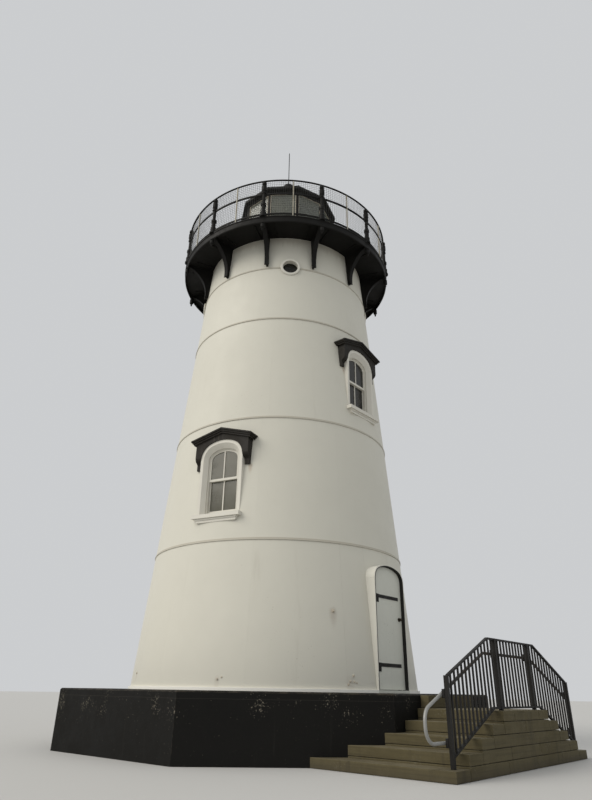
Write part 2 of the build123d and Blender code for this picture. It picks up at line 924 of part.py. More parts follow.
def lantern_angles(offset=0.0):
    step = 360 / lantern_sides
    return [door_angle + step * (n + offset) for n in range(lantern_sides)]


def lantern_bay(points, trim=plate_joint / 2):
    """One straight side of the lantern from an outline of (distance, height).

    The piece runs from corner to corner and is mitred on the radial planes."""
    half_angle = math.pi / lantern_sides
    reach = eave_radius * 1.5
    low = min(z for r, z in points) - 1
    high = max(z for r, z in points) + 1
    strip = extrude(Plane.XZ * flat_face(points), reach, both=True)
    x = reach
    y = reach * math.tan(half_angle)
    shift = trim / math.sin(half_angle)
    wedge = Pos(shift, 0, low) * extrude(flat_face([(0, 0), (x, -y), (x, y)]), high - low)
    return strip & wedge


def side_distance(corner_radius):
    return corner_radius * math.cos(math.pi / lantern_sides)


def lantern_sides_of(piece):
    return [turned(piece, angle) for angle in lantern_angles(0.5)]


def make_lantern():
    nodes = {}
    floor = deck_top + fit_clearance
    head = deck_top + lantern_height
    sill = deck_top + parapet_height
    flat = side_distance(lantern_radius)
    post = Pos(lantern_radius - lantern_post / 2, 0, floor) * Box(
        lantern_post, lantern_post, head - floor,
        align=(Align.CENTER, Align.CENTER, Align.MIN))
    nodes["lantern_posts"] = [turned(post, angle) for angle in lantern_angles()]
    trim = lantern_post / 2 + lantern_fit
    wall = lantern_bay([(flat - lantern_wall, floor), (flat, floor),
                        (flat, sill), (flat - lantern_wall, sill)], trim)
    nodes["lantern_parapet"] = lantern_sides_of(wall)
    under = sill + fit_clearance
    over = sill + lantern_sill_height
    behind = flat - lantern_sill_inside
    edge = flat + lantern_sill_proud
    ledge = lantern_bay([(behind, under), (edge, under), (edge, over - lantern_sill_slope),
                         (flat + lantern_fit, over), (behind, over)], trim)
    nodes["lantern_sills"] = lantern_sides_of(ledge)
    low = sill + lantern_sill_height + fit_clearance
    pane = lantern_bay([(flat - lantern_wall, low), (flat - lantern_wall + lantern_pane, low),
                        (flat - lantern_wall + lantern_pane, head - fit_clearance),
                        (flat - lantern_wall, head - fit_clearance)], trim)
    nodes["lantern_glass"] = lantern_sides_of(pane)
    edge = side_distance(eave_radius)
    low = head + fit_clearance
    top = low + eave_height
    moulding = [(flat + (edge - flat) * r, low + eave_height * h) for r, h in eave_outline]
    behind = flat - lantern_post
    eave = lantern_bay([(behind, low)] + moulding + [(behind, top)])
    nodes["lantern_eaves"] = lantern_sides_of(eave)
    roof_low = top + fit_clearance
    seat = roof_low + roof_rise * (1 - vent_radius / edge)
    plate = lantern_bay([(vent_radius, seat), (vent_radius, seat + roof_plate),
                         (edge, roof_low + roof_plate), (edge, roof_low)])
    nodes["lantern_roof"] = lantern_sides_of(plate)
    ball = seat + roof_plate + vent_neck_height + vent_ball_radius
    nodes["roof_ventilator"] = [make_ventilator(seat, ball)]
    rod_low = ball + vent_ball_radius + fit_clearance
    point_length = rod_radius * rod_point_share
    rod = Pos(0, 0, rod_low) * Cylinder(rod_radius, rod_length - point_length,
                                        align=(Align.CENTER, Align.CENTER, Align.MIN))
    point = Pos(0, 0, rod_low + rod_length - point_length) * Cone(
        rod_radius, rod_radius / 8, point_length, align=(Align.CENTER, Align.CENTER, Align.MIN))
    nodes["lightning_rod"] = [rod + point]
    return nodes


def make_ventilator(seat, ball):
    """Collar, neck and ball of the ventilator, turned in one outline."""
    neck = vent_radius * vent_neck_share
    meet = math.sqrt(vent_ball_radius ** 2 - neck ** 2)
    plug = vent_radius - fit_clearance
    collar = seat + roof_plate + vent_skirt_lift
    skirt = vent_radius * vent_skirt_share
    rim = collar + vent_skirt_height
    shoulder = rim + vent_skirt_slope
    outline = [
        Line((0, seat), (plug, seat)),
        Line((plug, seat), (plug, collar)),
        Line((plug, collar), (skirt, collar)),
        Line((skirt, collar), (skirt, rim)),
        Line((skirt, rim), (neck, shoulder)),
        Line((neck, shoulder), (neck, ball - meet)),
        ThreePointArc((neck, ball - meet), (vent_ball_radius, ball),
                      (0, ball + vent_ball_radius)),
        Line((0, ball + vent_ball_radius), (0, seat)),
    ]
    return revolve(Plane.XZ * make_face(outline), Axis.Z)


# Steps

def plinth_clear():
    """The plinth's plan with a fine joint round it, for cutting the steps."""
    apothem = plinth_apothem + stone_joint
    radius = apothem / math.cos(math.pi / plinth_sides)
    outline = RegularPolygon(radius, plinth_sides, rotation=180 / plinth_sides)
    return Pos(0, 0, -1) * extrude(outline, plinth_height + 2)


def step_front(level):
    """Distance from the middle of the stair to the front of a level."""
    return landing_length / 2 + (step_levels - level) * tread


def level_top(level):
    """Height of a level's top; the paving takes a little off the first."""
    return first_riser + (level - 1) * riser


def step_block(x_low, x_high, level):
    high = level_top(level)
    low = 0 if level == 1 else high - riser
    block = Pos(stair_offset + (x_low + x_high) / 2, -steps_outer_y / 2, low) * Box(
        x_high - x_low, steps_outer_y, high - low - stone_joint,
        align=(Align.CENTER, Align.CENTER, Align.MIN))
    return block - plinth_clear()


def make_steps():
    near = []
    far = []
    middle = []
    for level in range(1, step_levels + 1):
        front = step_front(level)
        back = front - tread
        near.append(step_block(-front, -back - stone_joint, level))
        far.append(step_block(back + stone_joint, front, level))
        middle.append(step_block(-back, back, level))
    return near, far, middle


def make_door_step():
    low = level_top(step_levels)
    high = plinth_height - door_step_foot
    y = -plinth_apothem - stone_joint - door_step_depth / 2
    return Pos(stair_offset, y, low) * Box(
        door_step_width, door_step_depth, high - low,
        align=(Align.CENTER, Align.CENTER, Align.MIN))


# Stair railing, in the upright plane y = -railing_y, drawn about the stair's middle

def on_stair(shape):
    """Move a railing piece from the door's centre line to the stair's."""
    return Pos(stair_offset, 0, 0) * shape


def rail_line(x, height):
    """Height of a rail that runs level between the bends and slopes outside."""
    level = level_top(step_levels) + height
    return level - max(0, abs(x) - bend_x) * riser / tread


def bar_between(x1, z1, x2, z2, depth, thick):
    """Flat bar between two points of the railing's plane."""
    half = depth / 2
    points = [(x1, z1 - half), (x2, z2 - half), (x2, z2 + half), (x1, z1 + half)]
    return Pos(0, -railing_y, 0) * extrude(Plane.XZ * flat_face(points), thick / 2, both=True)


def railing_panel(*turns):
    """Top and bottom rails through the turning places, with pickets between them."""
    low_line = bottom_rail_gap + rail_depth / 2
    top_line = railing_height - rail_depth / 2
    panel = Part()
    for x_low, x_high in zip(turns, turns[1:]):
        for line in (low_line, top_line):
            panel = panel + bar_between(x_low, rail_line(x_low, line), x_high,
                                        rail_line(x_high, line), rail_depth, rail_section)
    start = turns[0] - railing_post / 2
    span = turns[-1] + railing_post / 2 - start
    count = round(span / picket_pitch)
    for n in range(1, count):
        x = start + span * n / count
        low = rail_line(x, low_line)
        high = rail_line(x, top_line)
        panel = panel + Pos(x, -railing_y, (low + high) / 2) * Box(picket, picket, high - low)
    return panel


def railing_posts_at():
    """Each post's place and the level that it stands on."""
    return [(-end_post_x, 1), (-inner_post_x, step_levels),
            (inner_post_x, step_levels), (end_post_x, 1)]


def make_railing_posts():
    posts = []
    for x, level in railing_posts_at():
        foot = level_top(level) - stone_joint
        top = rail_line(x, railing_height)
        post = Pos(x, -railing_y, foot) * Box(railing_post, railing_post, top - foot,
                                              align=(Align.CENTER, Align.CENTER, Align.MIN))
        posts.append(on_stair(post))
    return posts


def make_railing_panels():
    """A level panel, and on each side one that bends to follow the steps."""
    half = railing_post / 2 + fit_clearance
    middle = railing_panel(-inner_post_x + half, inner_post_x - half)
    far = railing_panel(inner_post_x + half, bend_x, end_post_x - half)
    near = mirror(far, Plane.YZ)
    return on_stair(near), on_stair(middle), on_stair(far)


handrail_y = railing_y - handrail_offset


def tube(points, radius):
    """Round tube along straight runs with rounded corners."""
    path = FilletPolyline(*points, radius=radius)
    start = path @ 0
    section = Plane(origin=start, z_dir=path % 0) * Circle(handrail_radius)
    return sweep(section, path=path)


def make_handrail():
    """Round rail inside the pickets, level over the landing."""
    y = -handrail_y
    end_z = rail_line(end_post_x, handrail_height)
    bend_z = rail_line(bend_x, handrail_height)
    return on_stair(tube([(-end_post_x, y, end_z), (-bend_x, y, bend_z),
                          (bend_x, y, bend_z), (end_post_x, y, end_z)], rail_bend))


def make_handrail_loop(reach, bend):
    """Return bend of the handrail, out past the end post and back to it."""
    y = -handrail_y
    pitch = riser / tread
    start = rail_line(end_post_x, handrail_height)
    out = end_post_x + reach
    return tube([(end_post_x + loop_seam, y, start - loop_seam * pitch),
                 (out, y, start - reach * pitch),
                 (out, y, loop_height), (end_post_x - bracket_size, y, loop_height)], bend)


def make_handrail_loops():
    """The wide loop at the near end and the short one at the far end."""
    near = mirror(make_handrail_loop(near_loop_reach, near_loop_bend), Plane.YZ)
    far = make_handrail_loop(far_loop_reach, far_loop_bend)
    return on_stair(near), on_stair(far)


def make_handrail_brackets():
    """Short arms from the posts to the handrail."""
    arms = []
    places = [(x, rail_line(x, handrail_height)) for x, level in railing_posts_at()]
    places += [(-end_post_x, loop_height), (end_post_x, loop_height)]
    for x, z in places:
        inner = handrail_y + handrail_radius + fit_clearance
        outer = railing_y - railing_post / 2 - fit_clearance
        arms.append(on_stair(Pos(x, -(inner + outer) / 2, z) * Box(
            bracket_size, outer - inner, bracket_size)))
    return arms


def build():
    os.makedirs("parts", exist_ok=True)
    save("plinth", make_plinth())
    save("ground_floor", make_ground_floor())
    save("wall_course_1", *make_first_course())
    left, right, over = make_walls_round_door()
    save("walls_beside_door", left, right)
    save("wall_over_door", over)
    for number in range(1, 5):
        save("wall_course_" + str(number + 1), *make_upper_course(number))
    jamb_left, jamb_right, head, sill = make_door_sleeve()
    save("door_jambs", jamb_left, jamb_right)
    save("door_head", head)
    save("door_sill", sill)
    save("door_leaf", make_door_leaf())
    save("hinge_straps", *make_hinge_straps())
    save("hinge_pins", *make_hinge_pins())
    save("door_knob", make_door_knob())
    for name, shapes in make_windows().items():
        save(name, *shapes)
    rims, panes = make_portholes()
    save("porthole_rims", *rims)
    save("porthole_glass", *panes)
    save("gallery_consoles", *make_consoles())
    save("gallery_pendants", *make_pendants())
    save("gallery_deck", *make_deck())
    save("gallery_rim", *make_rim())
    save("gallery_posts", *make_gallery_posts())
    save("gallery_top_rail", *make_top_rail())
    post_trim = post_radius * post_ring_share + fit_clearance
    middle_rails = rail_arcs(flat_section(middle_rail_height), post_trim)
    foot_trim = post_radius * post_foot_share + fit_clearance
    bottom_rails = rail_arcs(flat_section(bottom_rail_height), foot_trim)
    save("gallery_lower_rails", *middle_rails, *bottom_rails)
    save("gallery_stanchions", *make_stanchions())
    save("lantern_floor", make_lantern_floor())
    for name, shapes in make_lantern().items():
        save(name, *shapes)
    near, far, middle = make_steps()
    save("near_steps", *near)
    save("far_steps", *far)
    save("landing_courses", *middle)
    save("door_step", make_door_step())
    save("railing_posts", *make_railing_posts())
    near, middle, far = make_railing_panels()
    save("near_railing", near)
    save("landing_railing", middle)
    save("far_railing", far)
    near_loop, far_loop = make_handrail_loops()
    save("handrail", make_handrail(), far_loop)
    save("near_handrail_loop", near_loop)
    save("handrail_brackets", *make_handrail_brackets())


build()
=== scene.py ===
# %% [markdown]
# # A cast-iron lighthouse, dressed in Blender
#
# The construction (plinth, plates, windows, gallery, lantern, steps) is already solid
# geometry, loaded below as a fixed frame. This notebook adds what a painter, a mason and
# a fitter would add: paint, weather, wire mesh, bolts and dressed stone.

import math
import random

import bmesh
import bpy
from mathutils import Matrix, Vector, noise


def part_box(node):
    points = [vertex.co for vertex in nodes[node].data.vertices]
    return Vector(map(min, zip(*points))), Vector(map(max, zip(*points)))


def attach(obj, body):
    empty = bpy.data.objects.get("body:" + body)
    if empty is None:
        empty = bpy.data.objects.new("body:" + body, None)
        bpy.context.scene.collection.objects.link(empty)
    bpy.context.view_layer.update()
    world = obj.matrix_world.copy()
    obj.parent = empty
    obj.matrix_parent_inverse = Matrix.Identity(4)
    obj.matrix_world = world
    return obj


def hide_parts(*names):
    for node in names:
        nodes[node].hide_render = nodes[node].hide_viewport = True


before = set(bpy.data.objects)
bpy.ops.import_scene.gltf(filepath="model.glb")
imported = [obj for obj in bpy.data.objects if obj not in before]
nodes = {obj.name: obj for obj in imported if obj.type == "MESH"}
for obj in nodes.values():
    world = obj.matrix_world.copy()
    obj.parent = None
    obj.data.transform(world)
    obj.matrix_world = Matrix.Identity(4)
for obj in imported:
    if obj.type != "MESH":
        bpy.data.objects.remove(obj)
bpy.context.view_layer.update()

# %% [markdown]
# ## Camera
#
# The view is from close to the steps with the camera tilted up, so the tower leans back
# in perspective. The place, the tilt and the small roll were measured, not guessed. The
# lens is a 27 mm one on a 36 mm frame.

# %% Camera close to the steps
LENS_MM = 27.319
SENSOR_MM = 36.0
FAR_CLIP = 400.0
CAMERA_PLACE = Vector((-9.791, -8.972, 0.943))
# Degrees about x, y and z.
CAMERA_TURN = (115.5976, -0.8745, -49.3030)


def place_camera():
    """Make the camera, aim it and make it the scene's own."""
    lens = bpy.data.cameras.new("main_view")
    lens.lens = LENS_MM
    lens.sensor_width = SENSOR_MM
    lens.clip_end = FAR_CLIP
    camera = bpy.data.objects.new("main_view", lens)
    camera.location = CAMERA_PLACE
    camera.rotation_euler = [math.radians(a) for a in CAMERA_TURN]
    bpy.context.scene.collection.objects.link(camera)
    bpy.context.scene.camera = camera
    return camera


camera = place_camera()
print("camera at", tuple(camera.location), "lens", LENS_MM, "mm")

# %% [markdown]
# ## Studio floor
#
# The tower needs something to stand on and to throw its shadow on. Anything with detail
# would draw the eye from the tower, so this is one large plain sheet, with a trace of
# grain so that it doesn't look like empty space.

# %% Floor
FLOOR_HALF = 120.0
FLOOR_DROP = 0.002
FLOOR_GRAIN = 0.6
FLOOR_ROUGHNESS = 0.9
FLOOR_TONES = ((0.47, 0.465, 0.45, 1.0), (0.53, 0.525, 0.51, 1.0))


def link_nodes(tree, *pairs):
    """Link each output to the input beside it."""
    for start, end in pairs:
        tree.links.new(start, end)


def make_floor():
    """One square sheet, a hair below the ground, that belongs to the studio alone."""
    mesh = bpy.data.meshes.new("studio_floor")
    bm = bmesh.new()
    bmesh.ops.create_grid(bm, x_segments=1, y_segments=1, size=FLOOR_HALF)
    bm.to_mesh(mesh)
    bm.free()
    floor = bpy.data.objects.new("studio_floor", mesh)
    floor.location.z = -FLOOR_DROP
    bpy.context.scene.collection.objects.link(floor)
    paint = bpy.data.materials.new("studio_floor_paint")
    paint.use_nodes = True
    tree = paint.node_tree
    shader = tree.nodes["Principled BSDF"]
    shader.inputs["Roughness"].default_value = FLOOR_ROUGHNESS
    grain = tree.nodes.new("ShaderNodeTexNoise")
    grain.inputs["Scale"].default_value = FLOOR_GRAIN
    tones = tree.nodes.new("ShaderNodeValToRGB")
    for stop, tone in zip(tones.color_ramp.elements, FLOOR_TONES):
        stop.color = tone
    link_nodes(tree, (grain.outputs["Fac"], tones.inputs["Fac"]),
               (tones.outputs["Color"], shader.inputs["Base Color"]))
    mesh.materials.append(paint)
    return floor


floor = make_floor()
print("floor:", 2 * FLOOR_HALF, "m wide")

# %% [markdown]
# ## Studio light
#
# Out of doors on a dull day the light is one big soft source. Area lamps would do for a
# small object, but on a tower they leave hot spots, so the world gives the even light.
# One wide, soft sun makes the tower's left lighter than its right. What the camera sees
# behind the tower is a pale backdrop of its own, so that the white still stands off it.

# %% Light dome and sun
BACKDROP = (0.60, 0.612, 0.625, 1.0)
DOME_LIGHT = (0.965, 0.985, 1.0, 1.0)
DOME_STRENGTH = 0.66
SUN_COLOUR = (1.0, 0.95, 0.865)


def make_dome():
    """Backdrop for what the eye sees, in glass and gloss too; dome light for the rest."""
    world = bpy.data.worlds.new("soft_dome")
    world.use_nodes = True
    tree = world.node_tree
    tree.nodes.clear()
    out = tree.nodes.new("ShaderNodeOutputWorld")
    rays = tree.nodes.new("ShaderNodeLightPath")
    seen = tree.nodes.new("ShaderNodeBackground")
    seen.inputs["Color"].default_value = BACKDROP
    seen.inputs["Strength"].default_value = 1.0
    lit = tree.nodes.new("ShaderNodeBackground")
    lit.inputs["Color"].default_value = DOME_LIGHT
    lit.inputs["Strength"].default_value = DOME_STRENGTH
    direct = tree.nodes.new("ShaderNodeMath")
    direct.operation = "MAXIMUM"
    either = tree.nodes.new("ShaderNodeMath")
    either.operation = "MAXIMUM"
    mix = tree.nodes.new("ShaderNodeMixShader")
    link_nodes(tree, (rays.outputs["Is Camera Ray"], direct.inputs[0]),
               (rays.outputs["Is Glossy Ray"], direct.inputs[1]),
               (direct.outputs[0], either.inputs[0]),
               (rays.outputs["Is Transmission Ray"], either.inputs[1]),
               (either.outputs[0], mix.inputs["Fac"]),
               (lit.outputs[0], mix.inputs[1]), (seen.outputs[0], mix.inputs[2]),
               (mix.outputs[0], out.inputs["Surface"]))
    bpy.context.scene.world = world


def make_sun(name, azimuth, elevation, strength, softness):
    """A far lamp, placed by the way its light comes from, in degrees."""
    lamp = bpy.data.lights.new(name, "SUN")
    lamp.energy = strength
    lamp.angle = math.radians(softness)
    lamp.color = SUN_COLOUR
    sun = bpy.data.objects.new(name, lamp)
    sun.rotation_euler = (math.radians(90 - elevation), 0, math.radians(azimuth + 90))
    bpy.context.scene.collection.objects.link(sun)
    return sun


make_dome()
sun = make_sun("soft_sun", azimuth=156, elevation=38, strength=1.86, softness=45)
bpy.context.scene.view_settings.view_transform = "Standard"
print("sun strength:", round(sun.data.energy, 2), "dome strength:", DOME_STRENGTH)

# %% [markdown]
# ## Shared effects as node groups
#
# Paint on iron shows the same few things everywhere: cloudy tone, grime that runs down
# with the rain, painted shade and dirt under ledges, bare edges, chips, rust and a fine
# grain. Each could be wired again in every material. Instead each is one node group with
# named inputs, built once, and a material mixes them with its own colours and amounts. All
# of them read the object's own coordinates, so a pattern stays on the door when the door swings.

# %% Group helpers
def new_group(name, inputs, outputs):
    """An empty node group with named inputs and outputs, and its two end nodes."""
    group = bpy.data.node_groups.new(name, "ShaderNodeTree")
    for title, value in inputs:
        kind = "NodeSocketVector" if isinstance(value, tuple) else "NodeSocketFloat"
        socket = group.interface.new_socket(name=title, in_out="INPUT", socket_type=kind)
        socket.default_value = value
    for title in outputs:
        group.interface.new_socket(name=title, in_out="OUTPUT", socket_type="NodeSocketFloat")
    return group, group.nodes.new("NodeGroupInput"), group.nodes.new("NodeGroupOutput")


def feed(tree, value, socket):
    """Put a number or vector on a socket, or link another socket to it."""
    if isinstance(value, (int, float, tuple)):
        socket.default_value = value
    else:
        tree.links.new(value, socket)


print("group helpers ready")

# %% [markdown]
# ### Short words for common nodes
#
# A node takes three or four lines to add, set and link, and a mask needs a dozen nodes.
# They could be written out each time. With one short function for each kind, a mask reads
# like a sum, and what it does is easier to see.

# %% Node helpers
def own_place(tree):
    """The place on the object itself, which moves with it."""
    return tree.nodes.new("ShaderNodeTexCoord").outputs["Object"]


def own_normal(tree):
    """The way a face looks, in the object's own directions."""
    return tree.nodes.new("ShaderNodeTexCoord").outputs["Normal"]


def split(tree, vector):
    """The three parts of a vector, one socket each."""
    node = tree.nodes.new("ShaderNodeSeparateXYZ")
    tree.links.new(vector, node.inputs[0])
    return node.outputs


def add_math(tree, operation, first, second=0.0, clamp=False):
    """A sum with two numbers; clamp keeps the answer between 0 and 1."""
    node = tree.nodes.new("ShaderNodeMath")
    node.operation = operation
    node.use_clamp = clamp
    feed(tree, first, node.inputs[0])
    feed(tree, second, node.inputs[1])
    return node.outputs[0]


def add_range(tree, value, low, high, out_low=0.0, out_high=1.0):
    """A soft step from one level to another."""
    node = tree.nodes.new("ShaderNodeMapRange")
    node.interpolation_type = "SMOOTHSTEP"
    feed(tree, value, node.inputs["Value"])
    for title, number in (("From Min", low), ("From Max", high),
                          ("To Min", out_low), ("To Max", out_high)):
        feed(tree, number, node.inputs[title])
    return node.outputs["Result"]


def add_noise(tree, vector, scale, detail=4.0, roughness=0.55):
    """Smooth chance values between 0 and 1; a larger scale gives smaller spots."""
    node = tree.nodes.new("ShaderNodeTexNoise")
    node.inputs["Detail"].default_value = detail
    node.inputs["Roughness"].default_value = roughness
    tree.links.new(vector, node.inputs["Vector"])
    feed(tree, scale, node.inputs["Scale"])
    return node.outputs["Fac"]


def add_vector(tree, operation, first, second=None, output="Vector"):
    """A sum with vectors; output="Value" reads a length or a dot product."""
    node = tree.nodes.new("ShaderNodeVectorMath")
    node.operation = operation
    feed(tree, first, node.inputs[0])
    if second is not None:
        feed(tree, second, node.inputs[1])
    return node.outputs[output]


print("node helpers ready")

# %% [markdown]
# ### Cloudy tone
#
# Old paint is never one flat tone: sun and damp bleach it in slow drifts. A ramp by height
# would look too regular, so a broad noise and a finer one are added.

# %% Cloudy tone group
def make_cloud_group():
    """Slow drifts of tone over metres, with a smaller mottle on top."""
    group, gin, gout = new_group("cloudy_tone", [("Size", 0.8), ("Contrast", 1.0)], ["Tone"])
    place = own_place(group)
    broad = add_noise(group, place, gin.outputs["Size"], 3.0)
    fine_size = add_math(group, "MULTIPLY", gin.outputs["Size"], 7.0)
    fine = add_noise(group, place, fine_size, 6.0)
    both = add_math(group, "ADD", add_math(group, "MULTIPLY", broad, 0.65),
                    add_math(group, "MULTIPLY", fine, 0.35))
    centred = add_math(group, "SUBTRACT", both, 0.5)
    scaled = add_math(group, "MULTIPLY", centred, gin.outputs["Contrast"])
    group.links.new(add_math(group, "ADD", scaled, 0.5, clamp=True), gout.inputs["Tone"])
    return group


cloudy_tone = make_cloud_group()
print("group:", cloudy_tone.name)

# %% [markdown]
# ### Rain streaks
#
# Rain draws grime down a wall in long thin marks. A painted mask would need a picture, so
# a noise is drawn out upright instead, and a second, broad noise leaves some places clean.

# %% Rain streak group
def make_streak_group():
    """Long, thin, upright marks: noise squeezed sideways and drawn out downwards."""
    group, gin, gout = new_group("rain_streaks", [("Width", 9.0), ("Coverage", 0.5)],
                                 ["Streaks"])
    place = own_place(group)
    drawn = add_vector(group, "MULTIPLY", place, (1.0, 1.0, 0.055))
    lines = add_noise(group, drawn, gin.outputs["Width"], 5.0, 0.65)
    patch = add_noise(group, place, 0.9, 2.0)
    low = add_math(group, "SUBTRACT", 0.78, add_math(group, "MULTIPLY",
                                                     gin.outputs["Coverage"], 0.4))
    high = add_math(group, "ADD", low, 0.2)
    mask = add_range(group, lines, low, high)
    patchy = add_range(group, patch, 0.35, 0.65)
    group.links.new(add_math(group, "MULTIPLY", mask, patchy), gout.inputs["Streaks"])
    return group


rain_streaks = make_streak_group()
print("group:", rain_streaks.name)

# %% [markdown]
# ### Painted shade and dirt under a ledge
#
# Under a ledge lie painted shade and dirt, darkest right below it. The group takes the
# ledge's height and fades downwards from there, and drips of different length break up its end.

# %% Painted shade and dirt under a ledge
def make_ledge_group():
    """A ragged band of painted shade and grime just below a given height, such as under a seam's
    bead.
    """
    group, gin, gout = new_group("ledge_shade_and_grime", [("Level", 1.0), ("Reach", 0.1)], ["Dirt"])
    place = own_place(group)
    under = add_math(group, "SUBTRACT", gin.outputs["Level"], split(group, place)[2])
    below = add_range(group, under, -0.001, 0.001)
    drawn = add_vector(group, "MULTIPLY", place, (1.0, 1.0, 0.08))
    drips = add_noise(group, drawn, 14.0, 4.0, 0.7)
    reach = add_math(group, "MULTIPLY", gin.outputs["Reach"],
                     add_range(group, drips, 0.25, 0.8, 0.6, 1.3))
    fade = add_range(group, under, 0.0, reach, 1.0, 0.0)
    group.links.new(add_math(group, "MULTIPLY", below, fade), gout.inputs["Dirt"])
    return group


ledge_shade_and_grime = make_ledge_group()
print("group:", ledge_shade_and_grime.name)

# %% [markdown]
# ### Worn edges
#
# Paint wears first on an edge. Painting each edge by hand is slow. A bevelled normal
# leaves the flat one only near an edge, so the difference between the two is the mask.

# %% Worn edge group
def make_edge_group():
    """Where a rounded normal departs from the flat one there is an edge."""
    group, gin, gout = new_group("worn_edges", [("Radius", 0.012), ("Breakup", 22.0)],
                                 ["Edges"])
    rounded = group.nodes.new("ShaderNodeBevel")
    rounded.samples = 4
    group.links.new(gin.outputs["Radius"], rounded.inputs["Radius"])
    geometry = group.nodes.new("ShaderNodeNewGeometry")
    same = add_vector(group, "DOT_PRODUCT", rounded.outputs["Normal"],
                      geometry.outputs["Normal"], "Value")
    turned = add_math(group, "SUBTRACT", 1.0, same)
    edge = add_range(group, turned, 0.01, 0.16)
    patch = add_range(group, add_noise(group, own_place(group), gin.outputs["Breakup"], 5.0),
                      0.42, 0.6)
    group.links.new(add_math(group, "MULTIPLY", edge, patch), gout.inputs["Edges"])
    return group


worn_edges = make_edge_group()
print("group:", worn_edges.name)

# %% [markdown]
# ### Chips and specks
#
# Chips are small and sharp, and crowd in patches. A noise cut at a high level gives them.
# The cut drops in each patch and near one height, such as the top of the plinth.

# %% Chips and specks group
def make_chip_group():
    """Small chips that cluster in patches, most of them near one height."""
    group, gin, gout = new_group(
        "paint_chips", [("Fineness", 26.0), ("Amount", 0.3), ("Patch size", 1.1),
                        ("Level", 0.0), ("Spread", 100.0)], ["Chips"])
    place = own_place(group)
    fine = add_noise(group, place, gin.outputs["Fineness"], 3.0, 0.6)
    patch = add_noise(group, place, gin.outputs["Patch size"], 3.0)
    away = add_math(group, "ABSOLUTE", add_math(
        group, "SUBTRACT", split(group, place)[2], gin.outputs["Level"]))
    near = add_range(group, away, 0.0, gin.outputs["Spread"], 1.0, 0.0)
    level = add_math(group, "SUBTRACT", 0.86, add_math(
        group, "MULTIPLY", gin.outputs["Amount"], 0.3))
    crowd = add_math(group, "MULTIPLY", add_range(group, patch, 0.45, 0.7), near)
    limit = add_math(group, "SUBTRACT", level, add_math(group, "MULTIPLY", crowd, 0.16))
    chips = add_range(group, fine, limit, add_math(group, "ADD", limit, 0.025))
    group.links.new(chips, gout.inputs["Chips"])
    return group


paint_chips = make_chip_group()
print("group:", paint_chips.name)

# %% [markdown]
# ### Fine grain
#
# Brush marks and soft dents are too shallow to model. Both are one height for the Bump
# node, which costs nothing in geometry.

# %% Fine grain group
def make_grain_group():
    """Height for a Bump node: brush marks or sand at one size, and soft dents at another."""
    group, gin, gout = new_group("surface_grain", [("Grain size", 60.0), ("Dents", 0.4)],
                                 ["Height"])
    place = own_place(group)
    grain = add_noise(group, place, gin.outputs["Grain size"], 6.0, 0.6)
    dents = add_noise(group, place, 2.4, 2.0)
    sunk = add_math(group, "MULTIPLY", dents, gin.outputs["Dents"])
    group.links.new(add_math(group, "ADD", grain, sunk), gout.inputs["Height"])
    return group


surface_grain = make_grain_group()
print("group:", surface_grain.name)

# %% [markdown]
# ### Rust tears
#
# Rust weeps from pinholes as thin tears. Fine upright noise gives the tears, and a few
# small patches say where they start, so most of the paint stays clean.

# %% Rust run-off group
def make_rust_group():
    """Thin orange-brown tears: fine upright streaks inside a few small patches."""
    group, gin, gout = new_group("rust_tears", [("Coverage", 0.3)], ["Rust"])
    place = own_place(group)
    drawn = add_vector(group, "MULTIPLY", place, (1.0, 1.0, 0.12))
    lines = add_noise(group, drawn, 34.0, 4.0, 0.7)
    patch = add_noise(group, place, 1.9, 4.0)
    limit = add_math(group, "SUBTRACT", 0.74, add_math(group, "MULTIPLY",
                                                       gin.outputs["Coverage"], 0.25))
    spots = add_range(group, patch, limit, add_math(group, "ADD", limit, 0.1))
    tears = add_range(group, lines, 0.5, 0.75)
    group.links.new(add_math(group, "MULTIPLY", spots, tears), gout.inputs["Rust"])
    return group


rust_tears = make_rust_group()
print("group:", rust_tears.name)

# %% [markdown]
# ### Stain round one place
#
# A rusty fitting leaves one spot with a tail. Noise alone would never put it in the right
# place, so this group takes the place itself, and shortens heights below it to get a tail.

# %% Stain round one place
def make_stain_group():
    """A ragged spot with a tail that runs down from it, as below a rusty fitting."""
    group, gin, gout = new_group("fitting_stain", [("Place", (0.0, 0.0, 0.0)),
                                                   ("Radius", 0.05)], ["Stain"])
    place = own_place(group)
    away = add_vector(group, "SUBTRACT", place, gin.outputs["Place"])
    across, along, up = split(group, away)
    short = add_range(group, up, -0.01, 0.01, 0.28, 1.0)
    flat = group.nodes.new("ShaderNodeCombineXYZ")
    link_nodes(group, (across, flat.inputs[0]), (along, flat.inputs[1]),
               (add_math(group, "MULTIPLY", up, short), flat.inputs[2]))
    length = add_vector(group, "LENGTH", flat.outputs[0], output="Value")
    ragged = add_math(group, "MULTIPLY", add_noise(group, place, 60.0, 4.0, 0.7), 0.9)
    edge = add_math(group, "ADD", add_math(
        group, "DIVIDE", length, gin.outputs["Radius"]), ragged)
    group.links.new(add_range(group, edge, 0.7, 1.4, 1.0, 0.0), gout.inputs["Stain"])
    return group


fitting_stain = make_stain_group()
print("group:", fitting_stain.name)

# %% [markdown]
# ## Materials
#
# A material is layers of colour, each laid over the last through a mask. Blender has a
# Mix node for that, and these three helpers place a group, mix two colours, and lay a
# tint over a colour at a given strength.

# %% Mixing helpers
def use_group(tree, group, **values):
    """Place a group and set its inputs by name."""
    node = tree.nodes.new("ShaderNodeGroup")
    node.node_tree = group
    for title, value in values.items():
        node.inputs[title.replace("_", " ").capitalize()].default_value = value
    return node.outputs[0]


